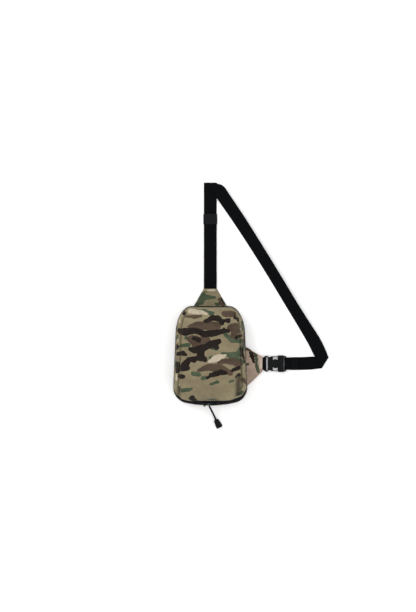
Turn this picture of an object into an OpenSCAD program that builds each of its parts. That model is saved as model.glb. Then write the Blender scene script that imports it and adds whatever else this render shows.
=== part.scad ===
// Sling bag lying on its back: +X to the wearer's buckle side, +Y up the strap,
// +Z out of the front panel. The origin is the centre of the back, on the surface.

/* [Bag] */
// Half-width of the bag at its widest
half_w = 108.5; // [100:0.5:115]
// Height of the top edge above the origin
top_y = 146; // [140:1:150]
// How far the lowest point of the bag lies below the origin
bottom_y = 146; // [140:1:150]
// Radius of the shallow arc along the bottom
bottom_r = 330; // [300:5:360]
// Radius of the two bottom corners
corner_r = 45; // [40:1:48]
// Height of the front edge seam above the surface
front_z = 73; // [68:1:78]
// How far the front panel crowns above its seam
crown = 10; // [6:1:12]
// Thickness of the outer cloth
cloth_t = 2; // [1:0.5:2]

/* [Zip] */
// Height of the line where the two coils meet
zip_z = 33; // [31:0.5:35]
// Height above the origin at which the zip ends on each side
zip_end_y = 132; // [125:1:135]
// Centre of the right slider from the middle of the bag
slider_right_x = -3; // [-5:0.5:0]
// Centre of the left slider from the middle of the bag
slider_left_x = -17; // [-20:0.5:-17]

/* [Strap] */
// Width of the shoulder webbing
web_w = 38; // [37:0.5:39]
// Thickness of the shoulder webbing
web_t = 1.8; // [1.4:0.1:1.8]
// Height of the fold at the top of the strap above the origin
strap_top_y = 511; // [505:1:515]
// Height of the top of the elastic keeper above the origin
keeper_y = 419; // [400:1:425]
// Length of the elastic keeper along the strap
keeper_len = 30; // [20:1:32]

/* [Tabs] */
// Height of the top tab's upper edge above the origin
tab_top_y = 198; // [190:1:205]
// Half-width of the top tab where it leaves the bag
tab_half_w = 51; // [45:1:53]

/* [Buckle] */
// Left edge of the buckle
buckle_x = 159; // [158:0.5:160]
// Height of the buckle's centre line above the origin
buckle_y = -23.5; // [-26:0.5:-22]
// Overall thickness of the buckle
buckle_t = 10; // [9.6:0.2:10.4]
// Diameter of the round tongue
tongue_d = 26; // [24:0.5:27]

/* [Pull] */
// Diameter of the pull cord
cord_d = 5.2; // [4:0.1:5.6]
// Length of the moulded cord end
cord_end_len = 26; // [22:0.5:28]

/* [Hidden] */

camo = [0.55, 0.5, 0.38];
camo_light = [0.6, 0.53, 0.45];
lining_grey = [0.22, 0.23, 0.22];
web_black = [0.09, 0.1, 0.11];
plastic_black = [0.12, 0.13, 0.14];
gunmetal = [0.3, 0.31, 0.33];

eps = 0.01;
lap = 0.05;             // hairline between the lapped parts of one piece
gap = 0.3;              // clearance between pieces of different bodies
panel_z = 8;            // top of the back panel
seam_z = 9;             // where the rear gusset starts
tape_z0 = 20;           // where the zip tape starts
tape_z1 = 2 * zip_z - tape_z0;
zip_in = 3;             // how far the zip band narrows towards the front
zip_lift = 13;          // how far its lower end rises towards the front
lining_t = 0.8;
web_z = 1.2;            // underside of the webbing that lies on the surface
fold_z = web_z + web_t + 0.5;
buckle_z = 0.2 + buckle_t / 2;
mouth_x = buckle_x + 40.5;

// ---- Outline of the bag, as one closed list of points ----
// inset shrinks it all round and lift raises only its lower end.
corner_x = half_w - corner_r;
corner_down = sqrt(pow(bottom_r - corner_r, 2) - pow(corner_x, 2));
arc_end = atan2(corner_x, corner_down);
shoulder_x = 55;
shoulder_y = 60;
waist_x = 102;
arc_steps = 5;
corner_steps = 6;
shoulder_steps = 8;

function arc_centre(lift) = bottom_r - bottom_y + lift;

function bottom_arc(inset, lift) = [
    for (i = [0:arc_steps - 1])
        let (a = arc_end * i / arc_steps)
        [(bottom_r - inset) * sin(a), arc_centre(lift) - (bottom_r - inset) * cos(a)]
];

function bottom_corner(inset, lift) = [
    for (i = [0:corner_steps])
        let (a = arc_end + (90 - arc_end) * i / corner_steps)
        [corner_x + (corner_r - inset) * sin(a),
         arc_centre(lift) - corner_down - (corner_r - inset) * cos(a)]
];

function shoulder(inset) = [
    for (i = [0:shoulder_steps])
        let (a = 90 * i / shoulder_steps)
        [shoulder_x + (waist_x - shoulder_x - inset) * cos(a),
         shoulder_y + (top_y - shoulder_y - inset) * sin(a)]
];

function right_half(inset, lift) =
    concat(bottom_arc(inset, lift), bottom_corner(inset, lift), shoulder(inset));

function outline(inset = 0, lift = 0) =
    let (right = right_half(inset, lift), n = len(right))
    concat(right, [for (i = [n - 1:-1:1]) [-right[i].x, right[i].y]]);

half_n = arc_steps + corner_steps + shoulder_steps + 2;

// Inset and lift of the sloping zip band at a height.
function zip_share(z) = (z - tape_z0) / (tape_z1 - tape_z0);
function zip_inset(z) = zip_in * zip_share(z);
function zip_raise(z) = zip_lift * zip_share(z);

// A point of the outline at a station, as [inset, lift, z].
function at_station(i, station) =
    let (p = outline(station[0], station[1])[i]) [p.x, p.y, station[2]];

// ---- Generic builders ----
// Sweeps a closed cross-section, a list of [inset, lift, z] stations, round a run
// of outline points. A run that isn't a whole loop gets an end cap at each end.
module band(stations, run, closed) {
    m = len(stations);
    k = len(run);
    rings = [for (i = run) for (s = stations) at_station(i, s)];
    last = closed ? k - 1 : k - 2;
    sides = [
        for (i = [0:last]) for (j = [0:m - 1])
            let (a = i * m, b = ((i + 1) % k) * m, q = (j + 1) % m)
            [a + j, b + j, b + q, a + q]
    ];
    tris = [for (f = sides) for (t = [[f[0], f[1], f[2]], [f[0], f[2], f[3]]]) t];
    caps = closed ? [] : [
        [for (j = [0:m - 1]) j],
        [for (j = [m - 1:-1:0]) (k - 1) * m + j]
    ];
    polyhedron(points = rings, faces = concat(tris, caps), convexity = 6);
}

n_all = len(outline());
whole_loop = [for (i = [0:n_all - 1]) i];
first_up = [for (i = [0:half_n - 1]) if (right_half(0, 0)[i].y < zip_end_y) i];
zip_up = len(first_up) - 1;
zip_run = [for (i = [-zip_up:zip_up]) (i + n_all) % n_all];

// A band between two stations, thickened inwards.
module wall(s0, s1, t, run = whole_loop, closed = true)
    band([s0, [s0[0] + t, s0[1], s0[2]], [s1[0] + t, s1[1], s1[2]], s1], run, closed);

module slab(inset, z0, z1)
    translate([0, 0, z0])
    linear_extrude(z1 - z0)
    polygon(outline(inset));

module ring(inset0, inset1, z0, z1)
    translate([0, 0, z0])
    linear_extrude(z1 - z0)
    difference() {
        polygon(outline(inset0));
        polygon(outline(inset1));
    }

// A flat plate cut back to the edge of the bag.
module plate(points, z, t)
    translate([0, 0, z])
    linear_extrude(t)
    difference() {
        polygon(points);
        polygon(outline());
    }

// A band of webbing seen from above, along a centre line.
function across(route, i) =
    let (d = route[min(i + 1, len(route) - 1)] - route[max(i - 1, 0)])
    [-d.y, d.x] / norm(d);
function strip(route, w) = concat(
    [for (i = [0:len(route) - 1]) route[i] + across(route, i) * w / 2],
    [for (i = [len(route) - 1:-1:0]) route[i] - across(route, i) * w / 2]
);

// Extrudes a side profile of [x, z] points across the width of the webbing.
module webbing_profile(points, y, w)
    translate([0, y + w / 2, 0])
    rotate([90, 0, 0])
    linear_extrude(w)
    polygon(points);

// ---- Back of the bag ----
pad_inset = 12;

module back_mesh() color(web_black) {
    slab(pad_inset, 0, 1.2);
    ring(pad_inset, pad_inset + 1.5, 1.2, 5.5);
}

module back_foam() color("dimgray") slab(pad_inset + 1.5, 1.2, 5.5);

module back_panel() color(camo) slab(3, 5.5, panel_z);

module back_binding() color(web_black) ring(0, 3, 5, seam_z);

// Along the top, where there is no zip, the cloth closes up to the coil line.
top_run = [for (i = [zip_up:n_all - zip_up]) i];

module rear_gusset() color(camo) {
    wall([0, 0, seam_z], [0, 0, tape_z0], cloth_t);
    wall([0, 0, tape_z0], [zip_inset(zip_z), zip_raise(zip_z), zip_z - gap],
         cloth_t, top_run, false);
}

module rear_lining() color(lining_grey) {
    slab(3, panel_z, seam_z);
    wall([cloth_t + eps, 0, seam_z], [cloth_t + eps, 0, tape_z0], lining_t);
}

pocket_w = 140;
pocket_h = 120;
pocket_y = -92;
pocket_gap = 5;

module inner_pocket() color(lining_grey)
    translate([-pocket_w / 2, pocket_y, seam_z])
    difference() {
        cube([pocket_w, pocket_h, pocket_gap + 1.2]);
        translate([1.5, 1.5, -1])
        cube([pocket_w - 3, pocket_h, pocket_gap + 1]);
    }

// ---- Zip ----
coil_h = 1.2;
coil_out = 0.8;

module zip_wall(z0, z1, t, out = 0)
    wall([zip_inset(z0) - out, zip_raise(z0), z0],
         [zip_inset(z1) - out, zip_raise(z1), z1], t, zip_run, false);

module zip_tape_rear() color(web_black) zip_wall(tape_z0, zip_z - gap / 2 - coil_h, 1);
module zip_coil_rear() color(web_black)
    zip_wall(zip_z - gap / 2 - coil_h, zip_z - gap / 2, 1 + 2 * coil_out, coil_out);
module zip_coil_front() color(web_black)
    zip_wall(zip_z + gap / 2, zip_z + gap / 2 + coil_h, 1 + 2 * coil_out, coil_out);
module zip_tape_front() color(web_black) zip_wall(zip_z + gap / 2 + coil_h, tape_z1, 1);

// One crimped stop at each end of the rear coil.
module zip_stops() color(gunmetal)
    for (side = [-1, 1])
        let (p = outline(zip_inset(zip_z))[zip_up])
        translate([side * (p.x + 1.9), p.y + 3, zip_z - 5])
        cube([1.6, 5, 4.4], center = true);

// ---- Front of the bag ----
front_in = 15;
front_lift = 15;
mid_z = tape_z1 + 0.62 * (front_z - tape_z1);

function front_outer(d) = [
    [zip_in + d, zip_lift, tape_z1],
    [zip_in + 3.5 + d, zip_lift + 0.4, mid_z],
    [front_in + d, front_lift, front_z]
];
function reversed(list) = [for (i = [len(list) - 1:-1:0]) list[i]];

// The panel wraps over the bottom and the top; the side gussets lie between.
dart_i = arc_steps + 3;
crest_i = arc_steps + corner_steps + 1 + 6;
apron_run = [for (i = [-dart_i:dart_i]) (i + n_all) % n_all];
crest_run = [for (i = [crest_i:n_all - crest_i]) i];

module side_band(run)
    band(concat(reversed(front_outer(0)), front_outer(cloth_t)), run, false);

module side_gusset_right() color(camo)
    side_band([for (i = [dart_i:crest_i]) i]);

module side_gusset_left() color(camo)
    side_band([for (i = [n_all - crest_i:n_all - dart_i]) i]);

module front_lining() color(lining_grey) {
    inner = cloth_t + 0.5;
    band(concat(reversed(front_outer(inner)), front_outer(inner + lining_t)),
         whole_loop, true);
}

// The front panel is a crowned shell, built from loops that shrink to the middle.
dome_in = [0, 4, 10, 18, 28];
dome_run = 28;
function dome_z(k) = front_z + crown * sqrt(1 - pow(1 - dome_in[k] / dome_run, 2));

module front_crown() {
    m = len(dome_in);
    over = [for (k = [0:m - 1]) for (i = whole_loop)
        at_station(i, [front_in + dome_in[k], front_lift, dome_z(k) + cloth_t])];
    under = [for (k = [0:m - 1]) for (i = whole_loop)
        at_station(i, [front_in + dome_in[k], front_lift, dome_z(k)])];
    base = m * n_all;
    skin = [for (k = [0:m - 2]) for (i = whole_loop)
        let (j = (i + 1) % n_all)
        [k * n_all + i, (k + 1) * n_all + i, (k + 1) * n_all + j, k * n_all + j]];
    over_tris = [for (f = skin) for (t = [[f[0], f[1], f[2]], [f[0], f[2], f[3]]]) t];
    under_tris = [for (t = over_tris) [base + t[2], base + t[1], base + t[0]]];
    rim = [for (i = whole_loop) let (j = (i + 1) % n_all)
        for (t = [[i, j, base + j], [i, base + j, base + i]]) t];
    lid = [[for (i = reversed(whole_loop)) (m - 1) * n_all + i],
           [for (i = whole_loop) base + (m - 1) * n_all + i]];
    polyhedron(points = concat(over, under),
               faces = concat(over_tris, under_tris, rim, lid), convexity = 6);
}

module front_panel() color(camo) {
    translate([0, 0, lap]) front_crown();
    side_band(apron_run);
    side_band(crest_run);
    wall([zip_inset(zip_z), zip_raise(zip_z), zip_z + gap], [zip_in, zip_lift, tape_z1],
         cloth_t, top_run, false);
}

// ---- Top tab, side wing and what they hold ----
tab_points = [
    [-19.6, tab_top_y], [19.6, tab_top_y], [tab_half_w, top_y - 3], [-tab_half_w, top_y - 3]
];
wing_points = [
    [95, 26], [106, 25], [117, 20], [129, 11], [143, 3], [154, -1.5],
    [154, -46], [140, -60], [123, -77], [106, -92], [95, -98]
];

module top_tab_front() color(camo_light) plate(tab_points, web_z + web_t, 1.6);
module top_tab_back() color(camo_light) plate(tab_points, 0.1, web_z - 0.1);

wing_z = buckle_z - web_t;
module wing_front() color(camo_light) plate(wing_points, wing_z + 2 * web_t, 1.2);
module wing_back() color(camo_light) plate(wing_points, wing_z - 1.2, 1.2);

bar_w = 4;
bar_t = 3.2;

module wing_webbing() color(web_black)
    difference() {
        webbing_profile([
            [136, wing_z], [154.5, wing_z], [158, buckle_z - bar_t / 2 - 0.2 - web_t],
            [buckle_x + bar_w + 2, buckle_z - bar_t / 2 - 0.2 - web_t],
            [buckle_x + bar_w + 2, buckle_z + bar_t / 2 + 0.2 + web_t],
            [158, buckle_z + bar_t / 2 + 0.2 + web_t],
            [154.5, wing_z + 2 * web_t], [136, wing_z + 2 * web_t]
        ], buckle_y, web_w);
        webbing_profile([
            [buckle_x - 0.2, buckle_z - bar_t / 2 - 0.2],
            [buckle_x + bar_w + 0.2, buckle_z - bar_t / 2 - 0.2],
            [buckle_x + bar_w + 0.2, buckle_z + bar_t / 2 + 0.2],
            [buckle_x - 0.2, buckle_z + bar_t / 2 + 0.2]
        ], buckle_y, web_w + 2);
    }

// ---- Buckle ----
male_half = 23.5;
male_t = 7;
tongue_x = buckle_x + 33.8;
tongue_t = 5.8;
frame_len = 14;         // bar frame, along the buckle
neck_len = 20;          // from the left edge to the end of the neck
yoke_len = 25.6;        // and to the end of the yoke that holds the arms
neck_half = 19.5;
bar_proud = 2;
guide_half = 5;
guide_t = 4;
arm_root_x = buckle_x + yoke_len + gap;
arm_y = 21;
arm_t = 1.8;
arm_tip_x = mouth_x + 14;

module block(x0, x1, half, t)
    translate([x0, buckle_y - half, buckle_z - t / 2])
    cube([x1 - x0, 2 * half, t]);

module male_frame()
    difference() {
        union() {
            block(buckle_x, buckle_x + frame_len, male_half - 3, male_t);
            for (side = [-1, 1])
                translate([buckle_x + frame_len / 2,
                           buckle_y + side * (male_half - frame_len / 2), buckle_z])
                cylinder(d = frame_len, h = male_t, center = true, $fn = 48);
        }
        block(buckle_x - 1, buckle_x + bar_w + 6.8, web_w / 2 + 0.5, male_t + 1);
    }

// The yoke widens from the neck to the two arms.
module yoke() {
    half = arm_y + arm_t / 2;
    right = [
        [neck_len - 1, neck_half], [neck_len + 1.5, half], [yoke_len, half]
    ];
    translate([buckle_x, buckle_y, buckle_z - male_t / 2])
    linear_extrude(male_t)
    polygon(concat(right, [for (i = [2:-1:0]) [right[i].x, -right[i].y]]));
}

module buckle_male() color(plastic_black) {
    male_frame();
    block(buckle_x, buckle_x + bar_w, web_w / 2 + bar_proud, bar_t);
    block(buckle_x + frame_len - 1, buckle_x + neck_len, neck_half, male_t);
    yoke();
    translate([tongue_x, buckle_y, buckle_z])
    cylinder(d = tongue_d, h = tongue_t, center = true, $fn = 64);
    block(tongue_x, arm_tip_x - 2, guide_half, guide_t);
}

// One spring arm with its barb; side is 1 for the upper arm.
module buckle_arm(side)
    translate([0, buckle_y + side * arm_y, buckle_z - 2.9])
    linear_extrude(5.8)
    scale([1, side])
    polygon([
        [arm_root_x, -arm_t / 2], [arm_root_x, arm_t / 2], [mouth_x + 3.4, arm_t / 2],
        [mouth_x + 3.8, 2.1], [mouth_x + 6, 2.1], [arm_tip_x, 0.2],
        [arm_tip_x, -arm_t / 2]
    ]);

module buckle_arm_upper() color(plastic_black) buckle_arm(1);
module buckle_arm_lower() color(plastic_black) buckle_arm(-1);

female_len = 25;
loop_bar_x = mouth_x + 22.4;

module buckle_female() color(plastic_black)
    difference() {
        translate([mouth_x, buckle_y, buckle_z - buckle_t / 2])
        linear_extrude(buckle_t)
        polygon([
            [0, -22.9], [1.6, -24.5], [15.5, -24.5], [female_len, -21.5],
            [female_len, 21.5], [15.5, 24.5], [1.6, 24.5], [0, 22.9]
        ]);
        block(mouth_x - 1, mouth_x + 4, 22.4, male_t);
        block(mouth_x + 3, mouth_x + 15.5, 23.5, male_t);
        block(mouth_x + 17.5, loop_bar_x, web_w / 2 + 0.6, buckle_t + 1);
        for (side = [-1, 1])
            translate([loop_bar_x - 1, buckle_y - 20, buckle_z + side * 6 - 4.2])
            cube([10, 40, 8.4]);
    }

// ---- Shoulder strap ----
// The long run, from the top fold to the fold by the buckle. Each station is
// [x, y, height of the inner edge, roll], and a roll lifts the outer edge.
diagonal_run = [
    [24, 490, 3.5, 15], [46, 459, 3.4, 16], [86, 400, 2, 22], [124, 341, 1, 27],
    [161, 282, 0.8, 30], [197, 223, 0.8, 31], [233, 163, 0.8, 31], [268, 106, 1, 28],
    [304, 48, 2.2, 12], [321, 15, 3.5, 5]
];
fold_low = [328, -37];
fold_tip = [349, -3];
fold_turn = atan2(fold_tip.y - fold_low.y, fold_tip.x - fold_low.x);
top_fold = [[-18.5, 507], [21.5, 509]];
lower_route = [[mouth_x + 36, buckle_y], [290, -22.5], [330, -20.5], [352, -19.5]];
upper_y0 = 165;

// The four corners of the webbing where its inner edge is at p and its outer at q.
function section(p, q) =
    let (side = (q - p) / norm(q - p), flat = norm([side.x, side.y]))
    let (up = [-side.x * side.z / flat, -side.y * side.z / flat, flat])
    [p, p + up * web_t, q + up * web_t, q];

function run_section(i) =
    let (s = diagonal_run[i])
    let (a = diagonal_run[max(i - 1, 0)], b = diagonal_run[min(i + 1, len(diagonal_run) - 1)])
    let (d = [b.x - a.x, b.y - a.y], n = [-d.y, d.x] / norm(d))
    let (c = [s.x, s.y], half = web_w / 2 * cos(s[3]))
    section([each (c - n * half), s.z], [each (c + n * half), s.z + web_w * sin(s[3])]);

diagonal_sections = concat(
    [section([each top_fold[0], fold_z], [each top_fold[1], fold_z + 1.5])],
    [for (i = [0:len(diagonal_run) - 1]) run_section(i)],
    [section([each fold_low, fold_z], [each fold_tip, fold_z])]
);

// Joins equal closed sections, a list of lists of points, into one solid.
module swept(sections) {
    k = len(sections);
    m = len(sections[0]);
    quads = [for (i = [0:k - 2]) for (j = [0:m - 1])
        let (q = (j + 1) % m) [i * m + j, i * m + q, (i + 1) * m + q, (i + 1) * m + j]];
    tris = [for (f = quads) for (t = [[f[2], f[1], f[0]], [f[3], f[2], f[0]]]) t];
    first_cap = [for (j = [1:m - 2]) [0, j, j + 1]];
    last = (k - 1) * m;
    last_cap = [for (j = [1:m - 2]) [last + j + 1, last + j, last]];
    polyhedron(points = [for (s = sections) each s],
               faces = concat(tris, first_cap, last_cap), convexity = 6);
}

// Everything on the buckle's side of the fold line.
module before_fold()
    translate(fold_low)
    rotate(fold_turn)
    translate([-300, 0])
    square(600);

module strap_upper() color(web_black) {
    translate([-web_w / 2, upper_y0, web_z])
    cube([web_w, strap_top_y - upper_y0, web_t]);
    translate([-web_w / 2, strap_top_y - 1.5, web_z])
    cube([web_w, 1.5, fold_z + web_t - web_z]);
}

module strap_tail() color(web_black)
    translate([-web_w / 2, tab_top_y + 0.2, web_z + web_t])
    cube([web_w, keeper_y + 3 - tab_top_y, web_t]);

module strap_diagonal() color(web_black) swept(diagonal_sections);

loop_top = buckle_z + 4.2;
fold_edge = 1.2;
module strap_lower() color(web_black) {
    translate([0, 0, web_z])
    linear_extrude(web_t)
    intersection() {
        polygon(strip(lower_route, web_w));
        before_fold();
    }
    // the rolled edge of the fold
    translate([each fold_low, web_z])
    rotate([0, 0, fold_turn])
    translate([0, -fold_edge, 0])
    cube([norm(fold_tip - fold_low), fold_edge, fold_z - web_z + web_t]);
    difference() {
        webbing_profile([
            [mouth_x + 19, web_z], [mouth_x + 19, loop_top], [mouth_x + 27.5, loop_top],
            [mouth_x + 38, web_z + 2 * web_t], [mouth_x + 62, web_z + 2 * web_t],
            [mouth_x + 62, web_z + web_t], [mouth_x + 37, web_z + web_t],
            [mouth_x + 37, web_z]
        ], buckle_y, web_w - 1);
        webbing_profile([
            [mouth_x + 20.8, web_z + web_t], [mouth_x + 20.8, loop_top - web_t],
            [mouth_x + 26.8, loop_top - web_t], [mouth_x + 32, web_z + web_t]
        ], buckle_y, web_w + 2);
    }
}

keeper_w = 41;
keeper_h = 6;
elastic_t = 0.9;

module strap_keeper() color("dimgray")
    translate([0, keeper_y - keeper_len / 2, keeper_h / 2])
    difference() {
        cube([keeper_w, keeper_len, keeper_h], center = true);
        cube([keeper_w - 2 * elastic_t, keeper_len + 1, keeper_h - 2 * elastic_t],
             center = true);
    }

// ---- Sliders and pulls ----
zip_tilt = atan2(zip_in + zip_lift, tape_z1 - tape_z0);
run_r = bottom_r - zip_inset(zip_z);
run_centre = arc_centre(zip_raise(zip_z));

// Places a child at a slider: local +X along the run, +Y into the bag, +Z up the band.
module on_run(x)
    translate([0, run_centre, zip_z])
    rotate([0, 0, asin(x / run_r)])
    translate([0, -run_r, 0])
    rotate([-zip_tilt, 0, 0])
    children();

slider_len = 12;
slider_w = 8.8;
bail_out = 6.75;        // centre of the bail, out from the coil line
bail_h = 2.4;
bail_t = 1.3;
bail_w = 9;
leg_t = 1.4;            // legs of the bail
plate_out = 3.2;        // outer face of the outer plate
plate_t = 1.6;
rear_in = 2.6;          // the inner plate, inside the front coil
rear_t = 1.2;
rear_z = 1.4;
rear_h = 3.4;

// The inner plate covers only the front coil, so that the bag can open past it.
module slider_body() color(gunmetal) {
    translate([-slider_len / 2, -plate_out, -slider_w / 2])
    cube([slider_len, plate_t, slider_w]);
    translate([-slider_len / 2, rear_in, rear_z])
    cube([slider_len, rear_t, rear_h]);
    for (x = [-bail_w / 2, bail_w / 2 - leg_t])
        translate([x, -bail_out, -bail_h / 2])
        cube([leg_t, bail_out - plate_out + lap, bail_h]);
    translate([-bail_w / 2, -bail_out - bail_t / 2, -bail_h / 2])
    cube([bail_w, bail_t, bail_h]);
}

module zip_slider_right() on_run(slider_right_x) slider_body();
module zip_slider_left() on_run(slider_left_x) slider_body();

// Route of the pull cord, from the right bail down to the surface.
cord_route = [
    [-3, -146.3, 36.5], [-1.7, -149.4, 36.4], [0, -152.5, 35.5], [1.5, -155.5, 33.5],
    [3, -158.5, 30.5], [4, -161.5, 27], [5.5, -164.5, 23], [7, -167.5, 19],
    [8.5, -170.5, 15], [10, -174, 11], [11.5, -177.5, 8], [13, -181, 5.8],
    [14.5, -185, 4.6], [16.5, -189, 4.2]
];
cord_sides = 8;
function along(i) =
    let (d = cord_route[min(i + 1, len(cord_route) - 1)] - cord_route[max(i - 1, 0)])
    d / norm(d);
function cord_ring(i) =
    let (d = along(i), u = cross(d, [1, 0, 0]) / norm(cross(d, [1, 0, 0])), v = cross(d, u))
    [for (k = [0:cord_sides - 1])
        let (a = 360 * k / cord_sides)
        cord_route[i] + cord_d / 2 * (cos(a) * u + sin(a) * v)];

module pull_cord() color(web_black)
    swept([for (i = [0:len(cord_route) - 1]) cord_ring(i)]);

cord_end_w0 = 14.5;
cord_end_w1 = 20;
cord_end_t = 8;
cord_last = cord_route[len(cord_route) - 1];
cord_turn = 26.6;

module cord_end() color(plastic_black)
    translate([cord_last.x, cord_last.y, 0.2])
    rotate([0, 0, cord_turn])
    translate([0, -0.3, 0])
    difference() {
        linear_extrude(cord_end_t)
        polygon([
            [-cord_end_w0 / 2 + 2, 0], [cord_end_w0 / 2 - 2, 0],
            [cord_end_w0 / 2, -2], [cord_end_w1 / 2, -cord_end_len + 3],
            [cord_end_w1 / 2 - 3, -cord_end_len], [-cord_end_w1 / 2 + 3, -cord_end_len],
            [-cord_end_w1 / 2, -cord_end_len + 3], [-cord_end_w0 / 2, -2]
        ]);
        translate([-4, -cord_end_len + 3.5, cord_end_t - 2])
        cube([8, 3, 4]);
    }

// The left pull hangs straight down from its bail, hooked over the bar.
pull_len = 24;
pull_w = 8;
pull_t = 1.5;
hook_w = 4.4;
left_bail = [
    slider_left_x,
    run_centre - sqrt(pow(run_r, 2) - pow(slider_left_x, 2)) - bail_out * cos(zip_tilt),
    zip_z + bail_out * sin(zip_tilt)
];

module pull_tab() color(gunmetal)
    translate(left_bail) {
        translate([-pull_w / 2, -4.6, 3.2 - pull_len]) cube([pull_w, pull_t, pull_len]);
        translate([-hook_w / 2, -4.6, 1.9]) cube([hook_w, 4.3, 1.3]);
    }

back_mesh();
back_foam();
back_panel();
back_binding();
rear_gusset();
rear_lining();
inner_pocket();
zip_tape_rear();
zip_coil_rear();
zip_stops();
top_tab_front();
top_tab_back();
wing_front();
wing_back();
wing_webbing();
buckle_male();
strap_upper();
strap_tail();
front_panel();
side_gusset_right();
side_gusset_left();
front_lining();
zip_tape_front();
zip_coil_front();
zip_slider_right();
zip_slider_left();
pull_cord();
cord_end();
pull_tab();
buckle_arm_upper();
buckle_arm_lower();
strap_diagonal();
strap_lower();
buckle_female();
strap_keeper();
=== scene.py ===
import math
import random

import bmesh
import bpy
import numpy as np
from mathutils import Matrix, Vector, noise
from mathutils.geometry import delaunay_2d_cdt


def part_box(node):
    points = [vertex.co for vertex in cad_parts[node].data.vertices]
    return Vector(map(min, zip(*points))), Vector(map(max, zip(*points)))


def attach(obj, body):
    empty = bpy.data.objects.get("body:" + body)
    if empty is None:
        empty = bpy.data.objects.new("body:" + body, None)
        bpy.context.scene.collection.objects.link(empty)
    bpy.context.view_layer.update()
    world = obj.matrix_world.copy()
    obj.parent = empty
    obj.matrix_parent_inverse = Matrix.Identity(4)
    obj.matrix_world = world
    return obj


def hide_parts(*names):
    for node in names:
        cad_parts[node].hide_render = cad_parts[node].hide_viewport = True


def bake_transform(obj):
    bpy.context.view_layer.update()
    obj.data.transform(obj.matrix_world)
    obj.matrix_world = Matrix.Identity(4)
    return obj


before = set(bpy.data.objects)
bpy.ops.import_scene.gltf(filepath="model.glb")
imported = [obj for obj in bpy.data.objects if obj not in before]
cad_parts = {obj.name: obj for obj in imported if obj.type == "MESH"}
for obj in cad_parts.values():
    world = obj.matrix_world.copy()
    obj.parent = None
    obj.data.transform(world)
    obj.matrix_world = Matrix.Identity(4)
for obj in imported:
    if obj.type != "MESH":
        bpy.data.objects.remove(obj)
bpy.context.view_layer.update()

# Lengths are in millimetres until a mesh is made, and the frame is the CAD model's:
# the bag lies on its back, +Y up the strap and +Z out of the front panel.
MM = 0.001
UP = np.array([0.0, 0.0, 1.0])


# ---- Camera, floor and light ----
def make_camera():
    """Straight above the middle of the view, on a long lens."""
    centre_x, centre_y, height = -6.8, 147, 3600
    view_tall, subject_z, film = 1802, 20, 36
    data = bpy.data.cameras.new("camera")
    data.lens = film * (height - subject_z) / view_tall
    data.sensor_width = film
    data.clip_start, data.clip_end = 0.1, 50
    camera = bpy.data.objects.new("camera", data)
    camera.location = (centre_x * MM, centre_y * MM, height * MM)
    bpy.context.scene.collection.objects.link(camera)
    bpy.context.scene.camera = camera


def area_light(name, place, aim, size, power):
    """A square light at a place in metres that faces its aim."""
    data = bpy.data.lights.new(name, "AREA")
    data.shape, data.size, data.energy = "SQUARE", size, power
    light = bpy.data.objects.new(name, data)
    light.location = place
    direction = Vector(aim) - Vector(place)
    light.rotation_euler = direction.to_track_quat("-Z", "Y").to_euler()
    bpy.context.scene.collection.objects.link(light)


def make_studio():
    scene = bpy.context.scene
    scene.view_settings.view_transform = "Standard"
    world = bpy.data.worlds.new("studio")
    world.use_nodes = True
    background = world.node_tree.nodes["Background"]
    background.inputs["Color"].default_value = (1, 1, 1, 1)
    background.inputs["Strength"].default_value = 0.95
    scene.world = world
    middle = (0.05, 0.15, 0)
    area_light("key", (-1.6, 1.5, 2.2), middle, 1.6, 26)
    area_light("fill", (1.9, -0.6, 2.0), middle, 1.8, 14)
    mesh = bpy.data.meshes.new("floor")
    half = 6
    corners = [(-half, -half, 0), (half, -half, 0), (half, half, 0), (-half, half, 0)]
    mesh.from_pydata(corners, [], [(0, 1, 2, 3)])
    floor = bpy.data.objects.new("floor", mesh)
    floor.location.z = -0.2 * MM
    scene.collection.objects.link(floor)
    look = Look("floor", roughness=0.9, specular=0.1)
    grain = look.noise(look.coordinates("Object"), 6, 3)
    look.finish(look.mix(grain, (0.9, 0.9, 0.895), (0.93, 0.93, 0.93)))
    look.shader.inputs["Emission Color"].default_value = (1, 1, 1, 1)
    look.shader.inputs["Emission Strength"].default_value = 0.14
    floor.data.materials.append(look.material)


# ---- Materials ----
def rgb(red, green, blue):
    """A colour given as 0-255 screen values, as linear light."""
    out = []
    for channel in (red, green, blue):
        c = channel / 255
        out.append(c / 12.92 if c <= 0.04045 else ((c + 0.055) / 1.055) ** 2.4)
    return tuple(out)


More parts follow.
